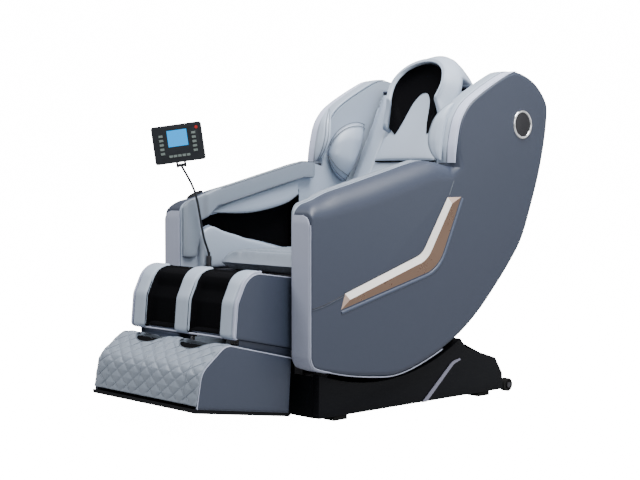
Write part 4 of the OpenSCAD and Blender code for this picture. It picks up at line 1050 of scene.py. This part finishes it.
def make_cheeks(name, corners, inset, body, first, last, rear):
    """Leather over both cheeks of a leg unit, slightly stuffed, with piping along its top and front."""
    def offset(d):
        """The corners moved in by d, each keeping its place in the outline."""
        out = []
        for i, (_, _, r) in enumerate(corners):
            p, u, v, half = corner_sides(corners, i)
            q = p + (u + v).normalized() * (d / sin(half))
            out.append((q.x, q.y, max(r - d, 2.5)))
        return rounded(out, 14)

    profile = [(-1.5, 0.0), (0.4, 0.0), (1.1, 0.8), (1.6, 3.0), (1.9, 9.0), (2.0, 18.0)]
    loops = [offset(inset + d) for x, d in profile]
    n = len(loops[0])

    def place(u, v):
        k = round(v * (len(profile) - 1))
        y, z = loops[k][round(u * n) % n]
        return (LEG_X + profile[k][0], y, z)

    piece(name, mirrored(closed(surface(n, len(profile) - 1, place))), "shell", body=body, smooth=50)
    edge = offset(inset - 1.0)[15 * first:15 * last]
    run = [(LEG_X + 0.8, y, z) for y, z in edge if y < rear]
    cords(name + "_piping", both(resample(run, 8)), 1.9, "piping", body=body)


def foot_track():
    line = rounded(FOOT_CORNERS, 14)
    front = list(reversed(line[45:90]))
    front = [(-775.8, 102)] + [p for p in front if p[1] > 110] + [(-520, 248.4)]
    return Track(resample(front, 9))


def make_foot():
    """Diamond-quilted foot pad that wraps the front and the top of the foot unit."""
    track = foot_track()
    well_x, well_half, well_y, well_deep = (36.5 + LEG_X - 73) / 2, 88.0, -616.0, 72.0
    columns, rows = 168, 150
    edges = [LEG_X + 1, LEG_X + 0.4, LEG_X - 2, LEG_X - 5, LEG_X - 8.3, LEG_X - 9.5]
    shares = [(track.point(k / 400).x, k / 400) for k in range(200, 401)]

    def column_x(k):
        """Across: thin laps over the cheeks, then the pad between them."""
        m = min(k, columns - k)
        s = -1 if k < columns / 2 else 1
        if m < 6:
            return s * edges[m], m
        return (LEG_X - 9.5) * (k - columns / 2) / (columns / 2 - 5), m

    def last(x):
        """The share of the line at which the pad ends, round the front of each well."""
        near = abs(abs(x) - well_x) / well_half
        if near >= 1:
            return 1.0
        y = well_y - well_deep * sqrt(1 - near ** 2.5)
        return next((t for at, t in shares if at > y), 1.0)

    def phase(x, share):
        across, along = x / QUILT_X, share * track.length / QUILT_Y
        return across + along, across - along

    def place(u, v, side):
        k = round(u * columns)
        x, m = column_x(k)
        share = v * last(x)
        e = crown(u, 0.16) * crown(v, 0.2)
        a, b = (abs(sin(pi * q)) for q in phase(x, share))
        if side > 0:
            puff = 3.4 * (1 - min(a, b) ** 0.7)
            h = 6 * (1 - e) + puff * min(1, e * 1.2)
        else:
            h = 6 + (4 * e if m < 5 else 22 * e)
        return (x, *track.point(share, h))

    obj = piece("foot_quilt", pillow(columns, rows, place), "quilt", ["foot_pad"], body="foot_unit")

    stitches = []
    reach_x, turns = LEG_X - 12, track.length / QUILT_Y
    for family in (1, -1):
        for n in range(-14, 32):
            line = []
            for k in range(141):
                x = reach_x * (k / 70 - 1)
                share = (n - family * x / QUILT_X) / turns
                if 0.03 < share < min(0.985, last(x) - 0.012):
                    line.append((x, *track.point(share, 3.1)))
                else:
                    stitches.append(line)
                    line = []
            stitches.append(line)
    stitches = [line for line in stitches if len(line) > 2]
    cords("foot_stitching", stitches, 0.8, "stitch", body="foot_unit", sides=1)

    def cloth(a, u):
        c, s = box_point(a, 0.6)
        x = (well_half + 6) * c
        share = last(well_x) - 0.03 + (1.03 - last(well_x)) * u
        return (well_x + x, *track.point(share, 15 + 2 * s + 3 * (1 - (x / 94) ** 2)))

    piece("foot_well_cloth", mirrored(rings(40, 30, cloth)), "fabric", body="foot_unit")
    rims = []
    for k in range(41):
        x = well_x + well_half * 0.985 * (k / 20 - 1)
        rims.append((x, *track.point(last(x) - 0.002, 4.5)))
    cords("foot_well_rims", both(rims), 2.2, "dark_piping", body="foot_unit")
    shoe = [(-389, 28, 4), (-376, 219, 10), (-655, 286, 60), (-756, 206, 80), (-778, 84, 4)]
    make_cheeks("foot_cheeks", shoe, 11.0, "foot_unit", 1, 5, -380.0)
    make_gaiters()


def make_pillow():
    """Head pillow: a flat bib, a padded hood over it and the hood's black cloth lining."""
    hood_s = BACK_LEN - 55
    hood_r, hood_band, hood_front = 165.0, 44.0, 61.0
    bib_low, bib_w, bib_t, gap = 413.0, 300.0, 26.0, SLACK
    arm_s = 540.0

    def bib(u, v, side):
        e = crown(u, 0.32) * crown(v, 0.25)
        s = bib_low + (hood_s + 70 - bib_low) * v
        r = hood_r - hood_band - 0.2
        if s > hood_s:
            half = sqrt(max(r * r - (s - hood_s) ** 2, 0))
        else:
            half = table(s, [(bib_low, bib_w / 2 + 6), (500, bib_w / 2 - 8), (532, r), (560, r)])
        x = (2 * u - 1) * half
        return back_point(x, -gap - bib_t * (0.5 + 0.5 * e if side > 0 else 0.5 * (1 - e)), s)

    obj = piece("pillow_front", pillow(60, 80, bib), "pad", ["pillow_bib"], body="head_pillow")
    # A black cloth cord along the bib's lower edge: painted shadow of the gap where the bib stands off the
    # back pad.
    hem = [back_point((bib_w / 2 + 3) * (k / 20 - 1), -gap - 8, bib_low - 0.5) for k in range(41)]
    cords("pillow_bib_shadow_cord", [hem], 3.2, "fabric", body="head_pillow", slot="pad_leather")

    def path(t):
        arm, r = hood_s - arm_s, hood_r - hood_band / 2
        total = 2 * arm + pi * r
        q = t * total
        if q < arm:
            return -r, arm_s + q, 0.0
        if q > total - arm:
            return r, arm_s + total - q, pi
        a = (q - arm) / r
        return -r * cos(a), hood_s + r * sin(a), a

    face = -gap - bib_t

    def slanted(s, d):
        """The lower ends of the hood slope back from its rim to the bib."""
        low = arm_s + 56 * clamped((face - d) / hood_front)
        return s if s > hood_s else low + (s - arm_s) * (hood_s - low) / (hood_s - arm_s)

    def hood(b, t):
        x, s, a = path(t)
        out = (-cos(a), sin(a))
        over = clamped((s - BACK_LEN - 4) / 22)
        ends = min(1.0, 0.2 + 9 * min(t, 1 - t))
        lift = sin(a) ** 2
        d0 = face - hood_front * ends * (1 - 0.2 * lift)
        d1 = -gap - 1 + 108 * over
        w = hood_band / 2 * (0.4 + 0.6 * ends)
        c, q = box_point(b, 0.6)
        d = between(d0, d1, q)
        near = clamped(-(d + 24) / 50)
        pinch = 9 * bell(s - 590, 55)
        e = c * w - (18 * near * ends if c > 0 else 0) - (7 + 13 * lift + pinch) * near * ends
        if d > 0:
            e -= 0.16 * d
        s = slanted(s + out[1] * e, d)
        return back_point(x + out[0] * e, d, max(s, BACK_LEN + 2 if over > 0 and d > -gap - 2 else 0))

    obj = piece("pillow_arch", rings(44, 140, hood), "light_pad", ["pillow_hood"], body="head_pillow")

    edge = [(0.0, 690), (20, 682), (40, 652), (53, 606), (64, 560), (80, 515)]
    line = Track(smooth_chain(list(reversed([(-x, s) for x, s in edge])) + edge[1:], 8))
    inner = hood_r - hood_band

    def lining(u, v, side):
        x, s, a = path(u)
        out = (-cos(a), sin(a))
        lift = sin(a) ** 2
        tip = min(1.0, 9 * min(u, 1 - u) + 0.1)
        r = -hood_band / 2 - (6 + 12 * lift + 9 * bell(s - 590, 55)) * tip
        rim_d = face - (hood_front * (1 - 0.2 * lift) - 9) * tip
        rim = Vector((x + out[0] * r, rim_d, slanted(s + out[1] * r, rim_d)))
        q = line.point(u)
        bib_edge = Vector((q.x, face - 1.6, q.y))
        wall = Vector((x + out[0] * -(hood_band / 2 + 3), face - 5, s + out[1] * -(hood_band / 2 + 3)))
        wall = rim.lerp(bib_edge, 0.5).lerp(wall, min(1.0, 7 * min(u, 1 - u)))
        p = rim.lerp(wall, v).lerp(wall.lerp(bib_edge, v), v)
        if side < 0:
            p = p + Vector((0, 1.4, 0)) + Vector((out[0], 0, out[1])) * 1.2
        return back_point(p.x, p.y, p.z)

    piece("pillow_cloth", pillow(110, 24, lining), "fabric", ["pillow_lining"], body="head_pillow")


def make_stalk_cap():
    """Low black cap over the stalk's socket on the arm top."""
    def place(a, u):
        c, s = cos(tau * a), sin(tau * a)
        r = sin(pi / 2 * min(1.0, 1.15 * u))
        z = 9 * sqrt(max(0.0, 1 - r ** 4)) - (0 if u < 0.87 else 4)
        y = -305 + 34 * r * s
        return (-333 + 15 * r * c, y, arm_top(y) - 1 + z)

    bm = surface(36, 14, lambda u, v: place(u % 1.0, v))
    piece("stalk_cap", closed(bm), "black", smooth=50)


def make_gaiters():
    """Leather bellows that close the gap between the calf rest and the foot unit."""
    def place(a, u):
        c, s = box_point(a, 0.5)
        y = -592 + 214 * u
        low = 258 - 0.239 * (y + 560) - 11
        high = 290 - 0.212 * (y + 626) + 11
        z = between(low, high, s)
        fold = 2.2 * sin(tau * 3 * (z - low) / (high - low))
        return (LEG_X - 13 + fold + 1.6 * c, y, z)

    obj = piece("leg_gaiters", mirrored(rings(56, 40, place)), "shell", body=None)
    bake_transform(obj)


def make_trim_ends(inner, ridge, outer):
    """The small facets that close both ends of the trim."""
    bm = bmesh.new()
    for t in (0, 1):
        corner = []
        for track, high in ((inner, TRIM_LOW), (ridge, TRIM_HIGH), (outer, TRIM_LOW)):
            p = track.point(t)
            corner += [bm.verts.new(Vector((HALF_W + x, p.x, p.y)) * MM) for x in (high, -1)]
        bmesh.ops.convex_hull(bm, input=corner, use_existing_faces=False)
    bmesh.ops.recalc_face_normals(bm, faces=bm.faces)
    piece("trim_ends", mirrored(bm), "gold_end", smooth=20)


def make_base():
    """Covers of the base with their inlaid stripes."""
    for side in ("left", "right"):
        skirt = side + "_skirt"
        piece(side + "_base_cover", eased(skirt, 3.0), "black", [skirt], body="base", smooth=30)
    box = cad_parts["skirt_stripes"].bound_box
    x, low = max(c[0] for c in box) / MM, min(c[2] for c in box) / MM
    a = Track(rounded_open([(151, low), (305, 143), (345, 150)], 40, 10))
    b = Track(rounded_open([(174, low), (312, 133), (346, 144)], 40, 10))

    def place(u, v):
        return (x + 0.6, *a.point(u).lerp(b.point(u), v))

    stripes = skirted(surface(30, 3, place), x - 2)
    piece("base_stripes", stripes, "stripe", ["skirt_stripes"], body="base", smooth=30)


def make_remote():
    piece("remote_case", eased("tablet_case", 1.6), "case", ["tablet_case"], body="remote", smooth=30)


def finish_cad():
    for paint, names in CAD_FINISH.items():
        for n in names:
            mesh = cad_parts[n].data
            mesh.materials.clear()
            mesh.materials.append(PAINT[paint])


def shown_as(tree, shown, cast):
    """A strength that the camera sees as shown and everything else as cast."""
    ray = node(tree, "ShaderNodeLightPath").outputs["Is Camera Ray"]
    return node(tree, "ShaderNodeMapRange", Value=ray, To_Min=cast, To_Max=shown).outputs["Result"]


# name, place and aim in m, width and depth in m, share of the key light's power
LAMPS = [
    ("Key", (-2.2, -3.6, 4.6), (0, 0, 0.8), (2.4, 2.4), 0.72),
    ("Top", (1.5, 0.1, 4.4), (0.1, 0.1, 0.5), (2.8, 2.8), 1.75),
    ("Fill", (4.6, -0.8, 2.4), (0, 0.1, 0.8), (2.5, 2.0), 0.28),
    ("Card", (3.8, 3.6, 1.4), (0.3, 0, 0.6), (1.6, 2.2), 0.12),
]


def make_stage(look):
    """Pale floor, soft studio light and the camera."""
    bm = bmesh.new()
    bmesh.ops.create_grid(bm, x_segments=1, y_segments=1, size=40)
    floor = added("floor", meshed("floor", bm))
    m = bpy.data.materials.new("Pale floor")
    m.use_nodes = True
    glow = shown_as(m.node_tree, look.floor_glow, 0.1)
    for name, value in {
        "Base Color": (0.25, 0.25, 0.25, 1), "Roughness": 0.8, "Specular IOR Level": 0.1,
        "Emission Color": (1, 1, 1, 1), "Emission Strength": glow,
    }.items():
        put(m.node_tree.nodes["Principled BSDF"].inputs[name], value)
    floor.data.materials.append(m)

    camera = bpy.data.cameras.new("Camera")
    camera.sensor_width = 36
    camera.lens = FOCAL_SHARE * 36
    camera.clip_end = 200
    obj = added("Camera", camera)
    obj.location = CAMERA_AT
    obj.rotation_euler = (pi / 2 - radians(CAMERA_DROP), 0, radians(CAMERA_TURN))
    bpy.context.scene.camera = obj

    for name, place, aim, size, share in LAMPS:
        light = bpy.data.lights.new(name, "AREA")
        light.shape = "RECTANGLE"
        light.size, light.size_y = size
        light.energy = look.key_light * share
        lamp = added(name, light)
        lamp.location = place
        lamp.rotation_euler = (Vector(aim) - Vector(place)).to_track_quat("-Z", "Y").to_euler()
    world = bpy.data.worlds.new("Studio")
    world.use_nodes = True
    sky = world.node_tree.nodes["Background"].inputs
    put(sky["Color"], (1, 1, 1, 1))
    put(sky["Strength"], shown_as(world.node_tree, 16.0, look.sky_light))
    bpy.context.scene.world = world


# ---------------------------------------------------------------- add-on
def colour(name, text, default):
    return bpy.props.FloatVectorProperty(
        name=name, description=text, subtype="COLOR", size=3, min=0, max=1, default=default)


def amount(name, text, subtype, most, default):
    return bpy.props.FloatProperty(
        name=name, description=text, subtype=subtype, min=0, max=most, default=default)


class ChairLook(bpy.types.PropertyGroup):
    """Colours and light that a user would change."""

    shell_colour: colour("Shell", "Colour of the side panels", (0.036, 0.047, 0.077))
    pad_colour: colour("Pads", "Colour of the padding", (0.37, 0.435, 0.535))
    border_colour: colour("Borders", "Colour of the borders and piping", (0.36, 0.39, 0.50))
    # Colour of the trim's upper bevel: the metal lightened as a painted highlight.
    gold_highlight_colour: colour("Trim", "Colour of the trim's upper bevel, lightened as a painted highlight", (1.0, 0.95, 0.90))
    key_light: amount("Key light", "Power of the main light in watts", "POWER", 5000, 230.0)
    sky_light: amount("Sky light", "Strength of the light from all round", "FACTOR", 2, 0.55)
    floor_glow: amount("Floor glow", "Light that the pale floor gives off", "FACTOR", 20, 16.0)


def operator(name, text, work):
    """An operator class that runs work(look)."""
    def execute(self, context):
        work(context.scene.chair_look)
        return {"FINISHED"}

    label = name.replace("_", " ").capitalize()
    return type("CHAIR_OT_" + name, (bpy.types.Operator,), {
        "__doc__": text, "bl_idname": "chair." + name, "bl_label": label, "execute": execute})


def plain(*makers):
    """A step that runs makers which need no look."""
    return lambda look: [make() for make in makers]


STEPS = [
    ("materials", "Build the leather, cloth, plastic and metal materials", build_materials),
    ("side_panels", "Make both side panels", plain(make_side_shells)),
    ("borders", "Make the padded borders of the arms and wings", plain(make_front_bands, make_wing_bands)),
    ("trim", "Make the bent metal trim and the panel seams", plain(make_trim)),
    ("speakers", "Make the speaker rims and mesh", plain(make_speakers)),
    ("arm_pads", "Make the arm bolsters, forearm bags and side bolsters",
     plain(make_arm_pads, make_arm_flaps, make_lower_pads)),
    ("shoulder_bags", "Make the shoulder air bags", plain(make_shoulder_bags)),
    ("seat", "Make the seat cushion", plain(make_seat)),
    ("back", "Make the back pad", plain(make_back)),
    ("calf_rest", "Make the calf ridges and wells", plain(make_calf)),
    ("foot_rest", "Make the quilted foot pad", plain(make_foot)),
    ("head_pillow", "Make the head pillow", plain(make_pillow)),
    ("base", "Make the base covers", plain(make_base)),
    ("remote", "Make the remote and its socket cap", plain(make_remote, make_stalk_cap)),
    ("frame_finish", "Give the frame's own parts their finishes", plain(finish_cad)),
    ("stage", "Make the floor, light and camera", make_stage),
]
OPERATORS = [operator(*step) for step in STEPS]


class CHAIR_PT_panel(bpy.types.Panel):
    """The chair's colours and its pieces."""

    bl_label = "Massage chair"
    bl_space_type = "VIEW_3D"
    bl_region_type = "UI"
    bl_category = "Chair"

    def draw(self, context):
        look = context.scene.chair_look
        for name in ChairLook.__annotations__:
            self.layout.prop(look, name)
        for o in OPERATORS:
            self.layout.operator(o.bl_idname)


CLASSES = [ChairLook, *OPERATORS, CHAIR_PT_panel]


def register():
    for c in CLASSES:
        bpy.utils.register_class(c)
    bpy.types.Scene.chair_look = bpy.props.PointerProperty(type=ChairLook)


def unregister():
    del bpy.types.Scene.chair_look
    for c in reversed(CLASSES):
        bpy.utils.unregister_class(c)


def corners(box):
    return [list(map(float, c)) for c in box]


def main():
    register()
    for o in OPERATORS:
        getattr(bpy.ops.chair, o.bl_idname.split(".")[1])()


if __name__ == "__main__":
    main()
